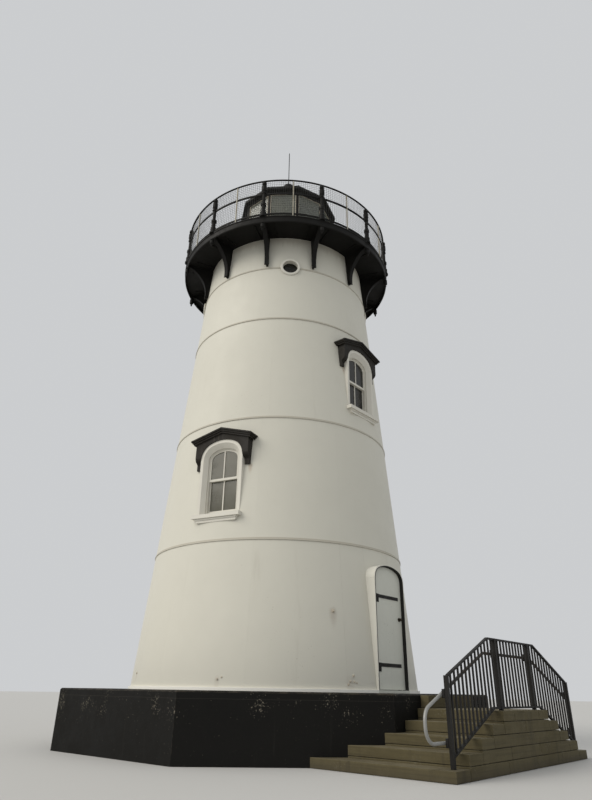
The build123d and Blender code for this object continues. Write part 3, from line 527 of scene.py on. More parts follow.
def mix_colour(tree, factor, first, second):
    """Go from the first colour to the second as the factor goes from 0 to 1."""
    node = tree.nodes.new("ShaderNodeMix")
    node.data_type = "RGBA"
    feed(tree, factor, node.inputs[0])
    for value, socket in ((first, node.inputs[6]), (second, node.inputs[7])):
        feed(tree, value + (1.0,) if isinstance(value, tuple) else value, socket)
    return node.outputs[2]


def lay_over(tree, colour, mask, amount, tint):
    """Mix a tint over a colour where a mask lies, at a given strength."""
    return mix_colour(tree, add_math(tree, "MULTIPLY", mask, amount), colour, tint)


print("mixing helpers ready")

# %% [markdown]
# ### One recipe for paint
#
# Every painted surface is built the same way: a base tone that drifts a little, streaks,
# chips that show what lies under the paint, worn edges, rust, and a bump from brush and
# casting. Each could have its own tree. Instead one helper wires the groups to a
# Principled shader, and each finish below only names its colours and amounts. The blacks
# also get a low specular level: an old matt black has little sheen of its own, and with
# more, the light from above would turn it grey.

# %% Helper that builds a painted finish
ROUGHER = 0.3


def painted(name, base, shade, *, tone=(0.8, 1.0), streak=None, edge=None, chips=None,
            rust=None, rough=(0.45, 0.65), metal=0.0, specular=0.5,
            bump=(60.0, 0.4, 0.15, 0.004), extra=None):
    """Base and shade drift into each other; each effect is (colour, amount, settings)."""
    material = bpy.data.materials.new(name)
    material.use_nodes = True
    tree = material.node_tree
    shader = tree.nodes["Principled BSDF"]
    cloud = use_group(tree, cloudy_tone, size=tone[0], contrast=tone[1])
    colour = mix_colour(tree, cloud, base, shade)
    roughness = add_range(tree, cloud, 0.3, 0.7, rough[0], rough[1])
    effects = ((streak, rain_streaks), (rust, rust_tears), (chips, paint_chips),
               (edge, worn_edges))
    for effect, group in effects:
        if effect:
            tint, amount, settings = effect
            mask = add_math(tree, "MULTIPLY", use_group(tree, group, **settings), amount)
            colour = mix_colour(tree, mask, colour, tint)
            if group in (paint_chips, rust_tears):
                roughness = add_math(tree, "ADD", roughness,
                                     add_math(tree, "MULTIPLY", mask, ROUGHER), clamp=True)
    if extra:
        colour = extra(tree, colour)
    grain_size, dents, strength, depth = bump
    relief = tree.nodes.new("ShaderNodeBump")
    relief.inputs["Strength"].default_value = strength
    relief.inputs["Distance"].default_value = depth
    link_nodes(tree, (use_group(tree, surface_grain, grain_size=grain_size, dents=dents),
                      relief.inputs["Height"]),
               (relief.outputs["Normal"], shader.inputs["Normal"]),
               (colour, shader.inputs["Base Color"]), (roughness, shader.inputs["Roughness"]))
    shader.inputs["Metallic"].default_value = metal
    shader.inputs["Specular IOR Level"].default_value = specular
    return material


def dress(material, *names):
    """Give CAD pieces a finish; only their material slots change."""
    for name in names:
        slots = nodes[name].material_slots
        for slot in slots:
            slot.material = material
        if not slots:
            nodes[name].data.materials.append(material)


print("finish helper ready")

# %% [markdown]
# ### Places on the tapered wall
#
# The wall is a cone, so a mark on it is given by its angle round the axis and its height.
# Points could be typed as x, y and z, but then each would miss the wall a little. The
# heights of the seams come from the plates themselves.

# %% The cone, the seams and the old fittings
SEAM_LEVELS = [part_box(name)[0].z for name in
               ("wall_course_2", "wall_course_3", "wall_course_4", "wall_course_5")]
SEAM_HALF = 0.016
TOWER_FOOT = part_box("wall_course_1")[0].z
TOWER_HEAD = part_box("wall_course_5")[1].z
FOOT_RADIUS = 2.780
WALL_TAPER = 0.0851


def wall_radius(level):
    """The cone's radius at a height."""
    return FOOT_RADIUS - WALL_TAPER * (level - TOWER_FOOT)


def polar(radius, angle, level):
    """A point from the tower's axis: radius, degrees, height."""
    turn = math.radians(angle)
    return Vector((radius * math.cos(turn), radius * math.sin(turn), level))


SAME_WINDOW = 2.0
# Degrees round the axis and metres above the ground.
SMALL_FITTING = (-116.77, 2.171)
OLD_BOLTS = [(-112.18, 1.048), (-111.32, 1.093), (-109.73, 1.087), (-109.97, 1.176),
             (-108.73, 1.073), (-157.04, 1.094), (-155.5, 1.124), (-202.42, 1.190)]


def on_wall(angle, level):
    """A point on the wall's outer face."""
    return polar(wall_radius(level), angle, level)


def one_window(first, second):
    """True for two places that belong to one window."""
    return (first - second).length < SAME_WINDOW


def gather(name, same):
    """The corners of a piece that repeats, gathered place by place."""
    groups = []
    for vert in nodes[name].data.vertices:
        for group in groups:
            if same(group[0], vert.co):
                group.append(vert.co.copy())
                break
        else:
            groups.append([vert.co.copy()])
    return groups


print("seam heights:", [round(level, 3) for level in SEAM_LEVELS])

# %% [markdown]
# ### Tower white
#
# The tower's white is a warm chalky paint. Painted shade and dirt lie under each seam's bead,
# painted shade runs along each bead and under the deck, brown runs start at the hoods' feet,
# a few fittings near the ground have rusted, and painted light brightens the foot flange. All
# of it is masks over one base colour, since a second mesh for it would flicker against the wall.

# %% Tower white
SHADE_AND_GRIME_TINT = (0.24, 0.20, 0.145)
# Painted shade: a brown line along each seam's bead.
BEAD_PAINTED_SHADE = (0.27, 0.225, 0.155)
RUST_TINT = (0.17, 0.075, 0.03)
RUN_TINT = (0.30, 0.19, 0.10)
# Painted light: the foot flange is brightened towards white.
FLANGE_PAINTED_LIGHT = (0.90, 0.885, 0.825)
FLANGE_TOP = TOWER_FOOT + 0.044
LEG_FROM_MIDDLE = 0.35
BELOW_LEG = 0.02
RUN_RADIUS = 0.06
SEAM_BLUR = 0.003
BEAD_SHADE_AMOUNT = 0.42
RUN_AMOUNT = 0.38
FLANGE_LIGHT_AMOUNT = 0.9
# How far each band of painted shade and dirt reaches down, and its strength, from the
# lowest seam to the deck; the deck's band is painted shade alone.
SHADE_AND_GRIME_BANDS = ((0.035, 0.35), (0.04, 0.4), (0.045, 0.45), (0.04, 0.4), (0.30, 0.35))
# Place, radius and strength.
RUST_SPOTS = ((SMALL_FITTING, 0.10, 0.22), (OLD_BOLTS[1], 0.12, 0.10),
              (OLD_BOLTS[5], 0.07, 0.12), (OLD_BOLTS[7], 0.06, 0.15))


def hood_feet():
    """The lowest corner of each leg of each window hood, taken back to the wall."""
    feet = []
    for group in gather("window_hoods", one_window):
        middle = sum(group, Vector()) / len(group)
        across = Vector((-middle.y, middle.x, 0)).normalized()
        for side in (-1, 1):
            leg = [co for co in group if side * (co - middle).dot(across) > LEG_FROM_MIDDLE]
            foot = min(leg, key=lambda co: co.z)
            feet.append(on_wall(math.degrees(math.atan2(foot.y, foot.x)), foot.z - BELOW_LEG))
    return feet


def weather_and_painted_light(tree, colour):
    """Painted shade and grime under the seams, painted shade on the beads and under the deck,
    stains round old fittings, painted light on the foot flange.
    """
    # Painted shade with some dirt under each seam's bead, and painted shade under the deck.
    for level, (reach, amount) in zip((*SEAM_LEVELS, TOWER_HEAD), SHADE_AND_GRIME_BANDS):
        shade_and_grime = use_group(tree, ledge_shade_and_grime, level=level - SEAM_HALF, reach=reach)
        colour = lay_over(tree, colour, shade_and_grime, amount, SHADE_AND_GRIME_TINT)
    height = split(tree, own_place(tree))[2]
    # Painted shade along each seam's bead, as a brown band.
    for level in SEAM_LEVELS:
        away = add_math(tree, "ABSOLUTE", add_math(tree, "SUBTRACT", height, level))
        bead = add_range(tree, away, SEAM_HALF - SEAM_BLUR, SEAM_HALF + SEAM_BLUR,
                         BEAD_SHADE_AMOUNT, 0.0)
        colour = mix_colour(tree, bead, colour, BEAD_PAINTED_SHADE)
    for (angle, level), size, amount in RUST_SPOTS:
        stain = use_group(tree, fitting_stain, place=tuple(on_wall(angle, level)), radius=size)
        colour = lay_over(tree, colour, stain, amount, RUST_TINT)
    for foot in hood_feet():
        run = use_group(tree, fitting_stain, place=tuple(foot), radius=RUN_RADIUS)
        colour = lay_over(tree, colour, run, RUN_AMOUNT, RUN_TINT)
    # Painted light on the foot flange below this height.
    flange = add_range(tree, height, FLANGE_TOP, FLANGE_TOP + 0.006, FLANGE_LIGHT_AMOUNT, 0.0)
    return mix_colour(tree, flange, colour, FLANGE_PAINTED_LIGHT)


tower_white = painted(
    "tower_white_paint", (0.650, 0.632, 0.550), (0.585, 0.570, 0.500), tone=(0.45, 1.2),
    streak=((0.42, 0.395, 0.32), 0.24, {"width": 4.0, "coverage": 0.5}),
    rust=((0.27, 0.13, 0.055), 0.45, {"coverage": 0.12}),
    chips=((0.36, 0.33, 0.26), 0.5, {"fineness": 30.0, "amount": 0.1, "patch_size": 0.9}),
    edge=((0.34, 0.32, 0.26), 0.3, {"radius": 0.010, "breakup": 9.0}),
    rough=(0.5, 0.68), specular=0.35, bump=(34.0, 1.6, 0.16, 0.006), extra=weather_and_painted_light)

dress(tower_white, "wall_course_1", "wall_course_2", "wall_course_3", "wall_course_4",
      "wall_course_5", "walls_beside_door", "wall_over_door")
print("finish:", tower_white.name, "with", len(RUST_SPOTS) + len(hood_feet()), "stains")

# %% [markdown]
# ### Trim white
#
# The window trim is the same white, a little brighter because it is smoother and catches
# more light. It could share the tower's finish, but that one carries the seams' dirt.

# %% Trim white
trim_white = painted(
    "trim_white_paint", (0.70, 0.675, 0.60), (0.60, 0.58, 0.515), tone=(1.4, 1.1),
    streak=((0.36, 0.33, 0.26), 0.4, {"width": 12.0, "coverage": 0.5}),
    rust=((0.27, 0.12, 0.05), 0.4, {"coverage": 0.15}),
    edge=((0.36, 0.33, 0.27), 0.35, {"radius": 0.006, "breakup": 20.0}),
    rough=(0.42, 0.6), specular=0.4, bump=(48.0, 0.8, 0.12, 0.004))

dress(trim_white, "window_surrounds", "window_sills", "window_sashes", "porthole_rims")
print("finish:", trim_white.name)

# %% [markdown]
# ### Doorway
#
# The doorway is white outside and black on its inner faces. The two meet on one piece, and
# splitting its mesh would change the fixed frame, so the finish chooses by direction: a
# face that looks towards the middle of the opening is black. A dot product between the
# normal and the line from that middle tells.

# %% Doorway finish with black inner faces
ARCH_MIDDLE = Vector((0.0, 0.0, 2.28))
REVEAL_BLACK = (0.016, 0.015, 0.013)


def paint_reveal(tree, colour):
    """Blacken faces that look towards the opening's middle."""
    place = own_place(tree)
    flat_normal = add_vector(tree, "MULTIPLY", own_normal(tree), (1.0, 0.0, 1.0))
    in_arch = add_range(tree, split(tree, place)[2], ARCH_MIDDLE.z - 0.02, ARCH_MIDDLE.z)
    across, _, up = split(tree, add_vector(tree, "SUBTRACT", place, tuple(ARCH_MIDDLE)))
    line = tree.nodes.new("ShaderNodeCombineXYZ")
    link_nodes(tree, (across, line.inputs[0]),
               (add_math(tree, "MULTIPLY", up, in_arch), line.inputs[2]))
    from_middle = add_vector(tree, "NORMALIZE", line.outputs[0])
    facing = add_vector(tree, "DOT_PRODUCT", flat_normal, from_middle, "Value")
    return mix_colour(tree, add_range(tree, facing, -0.3, -0.6), colour, REVEAL_BLACK)


doorway_white = painted(
    "doorway_white_paint", (0.70, 0.685, 0.61), (0.635, 0.62, 0.555), tone=(1.4, 1.1),
    streak=((0.34, 0.32, 0.26), 0.4, {"width": 12.0, "coverage": 0.5}),
    rust=((0.27, 0.12, 0.05), 0.4, {"coverage": 0.12}),
    edge=((0.30, 0.28, 0.23), 0.35, {"radius": 0.006, "breakup": 20.0}),
    rough=(0.42, 0.6), specular=0.35, bump=(48.0, 0.8, 0.12, 0.004), extra=paint_reveal)
dress(doorway_white, "door_jambs", "door_head")
print("finish:", doorway_white.name)

# %% [markdown]
# ### Door leaf
#
# The leaf has the most handled white: it is a little greyer, chipped in patches and worn
# along its edges. It swings, so its marks have to stay in its own coordinates.

# %% Door leaf white
door_white = painted(
    "door_paint", (0.655, 0.660, 0.585), (0.585, 0.590, 0.525), tone=(1.8, 1.2),
    streak=((0.34, 0.33, 0.28), 0.3, {"width": 12.0, "coverage": 0.5}),
    rust=((0.20, 0.10, 0.05), 0.4, {"coverage": 0.2}),
    chips=((0.26, 0.25, 0.21), 0.6, {"fineness": 44.0, "amount": 0.2, "patch_size": 2.4}),
    edge=((0.20, 0.19, 0.16), 0.5, {"radius": 0.006, "breakup": 20.0}),
    rough=(0.38, 0.55), specular=0.4, bump=(70.0, 0.6, 0.14, 0.003))
dress(door_white, "door_leaf", "door_sill")

# %% [markdown]
# ### Blacks of the gallery and the hoods
#
# Black paint covers the gallery, the lantern and the hoods. One black for all would look
# flat: the gallery keeps a dull sheen, and the hoods have faded to brown-black.

# %% Blacks of the gallery and the hoods
gallery_black = painted(
    "gallery_black_paint", (0.0065, 0.0063, 0.0056), (0.0115, 0.011, 0.0098),
    tone=(2.2, 1.4),
    streak=((0.05, 0.045, 0.038), 0.3, {"width": 11.0, "coverage": 0.4}),
    rust=((0.07, 0.025, 0.01), 0.4, {"coverage": 0.14}),
    edge=((0.05, 0.046, 0.04), 0.3, {"radius": 0.006, "breakup": 26.0}),
    rough=(0.5, 0.7), specular=0.14, bump=(46.0, 0.6, 0.18, 0.004))

hood_black = painted(
    "hood_black_paint", (0.0145, 0.0128, 0.0106), (0.026, 0.0225, 0.018), tone=(3.2, 1.4),
    streak=((0.10, 0.085, 0.068), 0.5, {"width": 20.0, "coverage": 0.6}),
    rust=((0.10, 0.035, 0.014), 0.6, {"coverage": 0.3}),
    chips=((0.17, 0.16, 0.14), 0.5, {"fineness": 50.0, "amount": 0.16, "patch_size": 3.0}),
    edge=((0.10, 0.085, 0.07), 0.5, {"radius": 0.007, "breakup": 30.0}),
    rough=(0.55, 0.75), specular=0.2, bump=(60.0, 0.5, 0.2, 0.004))

dress(gallery_black, "gallery_consoles", "gallery_pendants", "gallery_deck",
      "gallery_rim", "gallery_posts", "gallery_top_rail", "gallery_lower_rails",
      "lantern_posts", "lantern_parapet", "lantern_sills", "lantern_floor",
      "lantern_eaves", "roof_ventilator", "lightning_rod")
dress(hood_black, "window_hoods")
print("blacks:", gallery_black.name, hood_black.name)

# %% [markdown]
# ### Black of the plinth
#
# The plinth is within reach of every knock, so its black is chipped to an older pale coat,
# most of all near the top, and its upper edge has bleached brown. A faint line shows the
# masonry's top course. Heights tell where each belongs, so they need no extra geometry.

# %% Black of the plinth
PLINTH_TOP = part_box("plinth")[1].z
COURSE_LINE = PLINTH_TOP - 0.099
LINE_HALF = 0.006
COURSE_TINT = (0.055, 0.05, 0.042)
BLEACHED_TINT = (0.085, 0.07, 0.052)


def mark_plinth(tree, colour):
    """A faint line one course below the top, and a brown bleached top edge."""
    place = own_place(tree)
    level = split(tree, place)[2]
    wobble = add_math(tree, "MULTIPLY", add_noise(tree, place, 3.0, 3.0), 0.012)
    height = add_math(tree, "ADD", level, wobble)
    away = add_math(tree, "ABSOLUTE", add_math(tree, "SUBTRACT", height, COURSE_LINE))
    line = add_range(tree, away, 0.0, LINE_HALF, 1.0, 0.0)
    colour = lay_over(tree, colour, line, 0.35, COURSE_TINT)
    up = split(tree, own_normal(tree))[2]
    band = add_range(tree, level, PLINTH_TOP - 0.03, PLINTH_TOP - 0.008)
    top = add_math(tree, "MULTIPLY", band, add_range(tree, up, 0.5, 0.9, 1.0, 0.12))
    patch = add_range(tree, add_noise(tree, place, 7.0, 5.0, 0.65), 0.42, 0.62, 0.1, 0.8)
    return lay_over(tree, colour, top, patch, BLEACHED_TINT)


plinth_black = painted(
    "plinth_black_paint", (0.0062, 0.0060, 0.0054), (0.0115, 0.011, 0.0097),
    tone=(0.9, 1.6),
    streak=((0.042, 0.039, 0.033), 0.5, {"width": 8.0, "coverage": 0.5}),
    chips=((0.21, 0.19, 0.15), 0.8, {"fineness": 48.0, "amount": 0.47, "patch_size": 2.4,
                                      "level": 0.80, "spread": 0.50}),
    edge=((0.10, 0.085, 0.065), 0.65, {"radius": 0.014, "breakup": 14.0}),
    rough=(0.55, 0.8), specular=0.12, bump=(30.0, 1.6, 0.3, 0.006), extra=mark_plinth)
dress(plinth_black, "plinth")
print("plinth top:", round(PLINTH_TOP, 3))

# %% [markdown]
# ### Small finishes
#
# The stair rail, the knob, the rail's loop, the thin gallery bars and the floor inside are
# small areas: weathered black iron, tarnished bronze, zinc, faded white with rust, and a
# grey floor paint. The same helper makes each with finer grain, to suit a smaller piece.

# %% Small finishes
rail_black = painted(
    "rail_black_paint", (0.0105, 0.010, 0.009), (0.019, 0.0175, 0.0155), tone=(6.0, 1.2),
    rust=((0.11, 0.042, 0.018), 0.6, {"coverage": 0.35}),
    edge=((0.10, 0.09, 0.075), 0.35, {"radius": 0.003, "breakup": 40.0}),
    rough=(0.45, 0.65), specular=0.18, bump=(90.0, 0.3, 0.15, 0.002))
dress(rail_black, "near_railing", "landing_railing", "far_railing", "railing_posts",
      "hinge_straps", "hinge_pins")

knob_bronze = painted(
    "knob_bronze", (0.045, 0.032, 0.02), (0.022, 0.017, 0.012), tone=(9.0, 1.0),
    edge=((0.32, 0.23, 0.11), 0.5, {"radius": 0.004, "breakup": 60.0}),
    rough=(0.32, 0.5), metal=0.8, bump=(120.0, 0.2, 0.08, 0.001))
dress(knob_bronze, "door_knob")

galvanised = painted(
    "galvanised_tube", (0.34, 0.34, 0.325), (0.25, 0.25, 0.238), tone=(9.0, 1.2),
    rust=((0.20, 0.09, 0.04), 0.5, {"coverage": 0.3}),
    chips=((0.20, 0.195, 0.185), 0.6, {"fineness": 70.0, "amount": 0.35, "patch_size": 6.0}),
    rough=(0.42, 0.6), metal=0.35, bump=(90.0, 0.3, 0.12, 0.001))
dress(galvanised, "near_handrail_loop")

rusty_white = painted(
    "rusty_white_bar", (0.47, 0.455, 0.37), (0.22, 0.18, 0.13), tone=(6.0, 2.2),
    rust=((0.13, 0.055, 0.025), 0.6, {"coverage": 0.35}),
    chips=((0.07, 0.04, 0.025), 0.9, {"fineness": 40.0, "amount": 0.5, "patch_size": 5.0}),
    rough=(0.6, 0.85), bump=(60.0, 0.6, 0.3, 0.002))
dress(rusty_white, "gallery_stanchions")

floor_paint = painted(
    "inner_floor_paint", (0.27, 0.265, 0.25), (0.20, 0.195, 0.185), tone=(1.0, 1.0),
    edge=((0.12, 0.115, 0.10), 0.3, {"radius": 0.006, "breakup": 16.0}),
    rough=(0.5, 0.7), bump=(30.0, 0.6, 0.2, 0.003))
dress(floor_paint, "ground_floor")
print("small finishes:", [material.name for material in
                          (rail_black, knob_bronze, galvanised, rusty_white, floor_paint)])

# %% [markdown]
# ### Handrail
#
# The handrail and its brackets are black iron that has turned brown in places. The rust
# group makes thin tears, which suit a wall, so broad worn patches are mixed in instead.

# %% Handrail
BROWN_TINT = (0.095, 0.055, 0.032)


def brown_patches(tree, colour):
    """Rust-brown paint on worn places."""
    worn = add_range(tree, add_noise(tree, own_place(tree), 2.2, 5.0, 0.7), 0.4, 0.62)
    return lay_over(tree, colour, worn, 0.55, BROWN_TINT)


handrail_black = painted(
    "handrail_iron", (0.017, 0.016, 0.015), (0.03, 0.0265, 0.023), tone=(5.0, 1.2),
    edge=((0.12, 0.10, 0.08), 0.3, {"radius": 0.004, "breakup": 40.0}),
    rough=(0.32, 0.5), specular=0.35, bump=(90.0, 0.3, 0.1, 0.001), extra=brown_patches)
dress(handrail_black, "handrail", "handrail_brackets")
print("finish:", handrail_black.name)

# %% [markdown]
# ### Lantern roof
#
# The roof is black outside, but its under side has a pale coat, which shows through the
# lantern's glass. The finish picks by which way a face looks: the under side's normal
# points down.

# %% Lantern roof
CEILING_TINT = (0.30, 0.30, 0.275)


def pale_under_side(tree, colour):
    """Mix in the ceiling's pale coat where the surface looks down."""
    up = split(tree, own_normal(tree))[2]
    return mix_colour(tree, add_range(tree, up, -0.1, -0.3), colour, CEILING_TINT)


roof_black = painted(
    "lantern_roof_paint", (0.0105, 0.0102, 0.0092), (0.018, 0.0172, 0.0155),
    tone=(2.2, 1.4),
    streak=((0.05, 0.045, 0.038), 0.4, {"width": 11.0, "coverage": 0.5}),
    edge=((0.05, 0.046, 0.04), 0.3, {"radius": 0.006, "breakup": 26.0}),
    rough=(0.45, 0.65), specular=0.25, bump=(46.0, 0.6, 0.18, 0.004),
    extra=pale_under_side)
dress(roof_black, "lantern_roof")
print("finish:", roof_black.name)

# %% [markdown]
# ### Glass
#
# The panes are old, dusty sheets. Fully clear glass would show an empty, dark tower, so
# each pane's own colour carries what is seen in it: on the lantern a soft grey, painted
# reflection of the sky and painted light from inside; on the windows and the porthole,
# near-black painted shade of the dark spaces behind. A plain transmission weight lets some
# light through. The panes of the lower window look paler than those over the door, so one
# finish paints light on them below a set height.

# %% Glass finishes
PANE_IOR = 1.45
RIPPLE_DEPTH = 0.01
LOW_WINDOW_TOP = 5.4
# Painted light seen through the lower window's panes.
LOW_PANE_PAINTED_LIGHT = (0.100, 0.097, 0.074)


def glazing(name, clean, dusty, *, transmission, roughness, dust_size, specular,
            extra=None, ripple=0.05):
    """Two tones of glass mixed by dust noise, with painted light and shade in them; extra may
    change the colour, ripple bends reflections.
    """
    material = bpy.data.materials.new(name)
    material.use_nodes = True
    tree = material.node_tree
    shader = tree.nodes["Principled BSDF"]
    dust = add_range(tree, add_noise(tree, own_place(tree), dust_size, 5.0), 0.4, 0.75)
    colour = mix_colour(tree, dust, clean, dusty)
    if extra:
        colour = extra(tree, colour)
    relief = tree.nodes.new("ShaderNodeBump")
    relief.inputs["Strength"].default_value = ripple
    relief.inputs["Distance"].default_value = RIPPLE_DEPTH
    link_nodes(tree, (colour, shader.inputs["Base Color"]),
               (add_range(tree, dust, 0.0, 1.0, roughness, roughness + 0.25),
                shader.inputs["Roughness"]),
               (add_noise(tree, own_place(tree), 3.0, 2.0), relief.inputs["Height"]),
               (relief.outputs["Normal"], shader.inputs["Normal"]))
    shader.inputs["Transmission Weight"].default_value = transmission
    shader.inputs["IOR"].default_value = PANE_IOR
    shader.inputs["Specular IOR Level"].default_value = specular
    return material


def low_pane_painted_light(tree, colour):
    """Painted light: lighter and warmer below the height that parts the two windows."""
    low = add_range(tree, split(tree, own_place(tree))[2], LOW_WINDOW_TOP,
                    LOW_WINDOW_TOP + 0.05, 1.0, 0.0)
    return mix_colour(tree, low, colour, LOW_PANE_PAINTED_LIGHT)


# Painted shade: the near-black tones stand for the dark rooms behind; the lower panes get painted
# light.
window_pane = glazing(
    "window_pane", (0.020, 0.020, 0.018), (0.036, 0.035, 0.030), transmission=0.06,
    roughness=0.10, dust_size=2.2, specular=0.34, extra=low_pane_painted_light)
# Painted reflection and painted light: the pale grey-green stands for the sky and the lit lantern
# seen in the glass.
lantern_pane = glazing(
    "lantern_pane", (0.30, 0.315, 0.272), (0.345, 0.355, 0.30), transmission=0.6,
    roughness=0.16, dust_size=1.4, specular=0.12, ripple=0.005)
# Painted shade: the porthole's pane is an opaque near-black sheet for the dark port behind it.
porthole_painted_shade = glazing(
    "porthole_painted_shade", (0.010, 0.009, 0.006), (0.022, 0.020, 0.015), transmission=0.0,
    roughness=0.25, dust_size=6.0, specular=0.3)
dress(window_pane, "window_glass")
dress(porthole_painted_shade, "porthole_glass")
dress(lantern_pane, "lantern_glass")
print("glass:", window_pane.name, lantern_pane.name)

# %% [markdown]
# ## Helpers for fitted pieces
#
# Small fittings repeat many times. Each could be an object of its own, but hundreds of
# objects are slow to handle, so like ones are gathered in one bmesh and become one object
# on a body. This helper makes the object, sets its finish and says what it rides on.

# %% Turn a mesh into a piece
def finish_piece(name, bm, material, body, smooth=True):
    """Turn a bmesh into an object that rides on a body."""
    mesh = bpy.data.meshes.new(name)
    bmesh.ops.recalc_face_normals(bm, faces=bm.faces)
    bm.to_mesh(mesh)
    bm.free()
    mesh.materials.append(material)
    if smooth:
        for polygon in mesh.polygons:
            polygon.use_smooth = True
    piece = bpy.data.objects.new(name, mesh)
    bpy.context.scene.collection.objects.link(piece)
    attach(piece, body)
    return piece


print("piece helper ready")

# %% [markdown]
# ### Wires and turned shapes from rings
#
# A wire, a bolt head, a round-headed bolt and a bead are all a row of rings with faces
# between. Blender's own cones and cylinders would each have to be moved, turned and
# joined. It is simpler to place the rings where they belong and join them in one helper.

# %% Ring helpers
HEAD_BED = 0.002
CROWN_START = 0.7
CROWN_SHARE = 0.82


def join_rings(bm, rings):
    """Faces between rings of equal size, with a cap at each end."""
    for low, high in zip(rings, rings[1:]):
        for i in range(len(low)):
            j = (i + 1) % len(low)
            bm.faces.new((low[i], low[j], high[j], high[i]))
    bm.faces.new(rings[0][::-1])
    bm.faces.new(rings[-1])


def circle(sides):
    """Evenly spaced directions round a circle."""
    return [(math.cos(a), math.sin(a)) for a in
            (2 * math.pi * i / sides for i in range(sides))]


def add_wire(bm, start, end, radius, sides=4):
    """A straight wire as a thin prism, for meshes of many wires."""
    run = end - start
    side = run.cross(Vector((0, 0, 1)))
    if side.length < 1e-6 * run.length:
        side = Vector((1, 0, 0))
    side.normalize()
    other = run.normalized().cross(side)
    join_rings(bm, [[bm.verts.new(place + radius * (u * side + v * other))
                     for u, v in circle(sides)] for place in (start, end)])


def add_turned(bm, seat, outward, profile, sides=10):
    """A turned knob, bolt or dome: (radius, height) pairs along an outward axis."""
    axis = outward.normalized()
    side = axis.orthogonal().normalized()
    other = axis.cross(side)
    join_rings(bm, [[bm.verts.new(seat + axis * height + radius * (u * side + v * other))
                     for u, v in circle(sides)] for radius, height in profile])


def add_bolt(bm, seat, outward, radius, height, sides=6):
    """A hexagon head with a crowned top, sunk a little so that it is never loose."""
    add_turned(bm, seat, outward, ((radius, -HEAD_BED), (radius, height * CROWN_START),
                                   (radius * CROWN_SHARE, height)), sides)


print("ring helpers ready")

# %% [markdown]
# ### Bevelled boxes
#
# Ribs, beads and brackets are boxes, but no real arris is perfectly sharp: a small bevel
# catches the light. A Bevel modifier would have to be set on each object, while here the
# box is bevelled inside the bmesh that it belongs to.

# %% Box helper
def add_block(bm, low, high, bevel=0.0, turn=0.0):
    """A box between two corners, bevelled, turned about the tower's axis."""
    made = bmesh.ops.create_cube(bm, size=1.0)["verts"]
    size = [b - a for a, b in zip(low, high)]
    middle = [(a + b) / 2 for a, b in zip(low, high)]
    for vert in made:
        vert.co = Vector([m + c * s for m, c, s in zip(middle, vert.co, size)])
    if bevel:
        edges = {edge for vert in made for edge in vert.link_edges}
        made = bmesh.ops.bevel(bm, geom=list(edges), offset=bevel, segments=1,
                               affect="EDGES")["verts"]
    if turn:
        rotation = Matrix.Rotation(math.radians(turn), 4, "Z")
        faces = {face for vert in made if vert.is_valid for face in vert.link_faces}
        corners = {vert for face in faces for vert in face.verts}
        for vert in corners:
            vert.co = rotation @ vert.co


print("box helper ready")

# %% [markdown]
# ## Wire mesh round the gallery
#
# Square-mesh wire fills the rail from the deck to the top rail. It could be a picture
# with holes, but real wires hold up when seen close. Each is a thin prism; one sheet
# follows the circle of the posts, just inside them.

# %% Gallery wire mesh
WIRE_RADIUS = 0.0030
WIRE_SIDES = 3
MESH_PITCH = 0.052
MESH_INSET = 0.028
MESH_END = 0.006
RING_ARCS = 96
RING_SHIFT = 0.0015
FIRST_RING = 0.008
WIRE_BED = 0.002
POST_HALF = 0.060
DECK_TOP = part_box("gallery_deck")[1].z
RAIL_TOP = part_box("gallery_top_rail")[0].z + MESH_END
POST_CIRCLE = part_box("gallery_posts")[1].x - POST_HALF

mesh_wire = painted(
    "zinc_mesh_wire", (0.058, 0.058, 0.054), (0.034, 0.033, 0.030), tone=(3.0, 1.4),
    rust=((0.12, 0.06, 0.03), 0.5, {"coverage": 0.3}),
    rough=(0.6, 0.8), specular=0.3, bump=(150.0, 0.2, 0.1, 0.001))


def make_gallery_mesh():
    """Upright wires from the deck to the rail, and rings just outside them."""
    bm = bmesh.new()
    radius = POST_CIRCLE - MESH_INSET
    turns = round(2 * math.pi * radius / MESH_PITCH)
    rows = round((RAIL_TOP - DECK_TOP - MESH_END) / MESH_PITCH)
    for i in range(turns):
        angle = 360 * i / turns
        add_wire(bm, polar(radius, angle, DECK_TOP - WIRE_BED),
                 polar(radius, angle, RAIL_TOP), WIRE_RADIUS, WIRE_SIDES)
    ring = radius + RING_SHIFT
    first, rise = DECK_TOP + FIRST_RING, RAIL_TOP - DECK_TOP - 2 * MESH_END
    for row in range(rows):
        level = first + rise * row / (rows - 1)
        for i in range(RING_ARCS):
            add_wire(bm, polar(ring, 360 * i / RING_ARCS, level),
                     polar(ring, 360 * (i + 1) / RING_ARCS, level), WIRE_RADIUS, WIRE_SIDES)
    print("mesh:", turns, "upright wires,", rows, "rings,", len(bm.faces), "faces")
    return finish_piece("gallery_wire_mesh", bm, mesh_wire, "tower",
                        smooth=False)


make_gallery_mesh()

# %% [markdown]
# ## Under the deck
#
# Seen from below, the deck is plated in segments, and a shallow rib covers each joint.
# Bump alone would vanish against the light, so each rib is a thin bevelled bar that is
# turned to its place and let into the deck a little.

# %% Deck ribs
DECK_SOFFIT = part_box("gallery_deck")[0].z
BAYS = 12
CONSOLE_START = 15.0
# Where the ribs lie in a bay, as a share of its width.
RIB_SHARES = (0.32, 0.68)
RIB_INNER = 1.985
RIB_OUTER = POST_CIRCLE - 0.18
RIB_HALF = 0.012
RIB_DROP = 0.022
RIB_BED = 0.004
RIB_BEVEL = 0.003


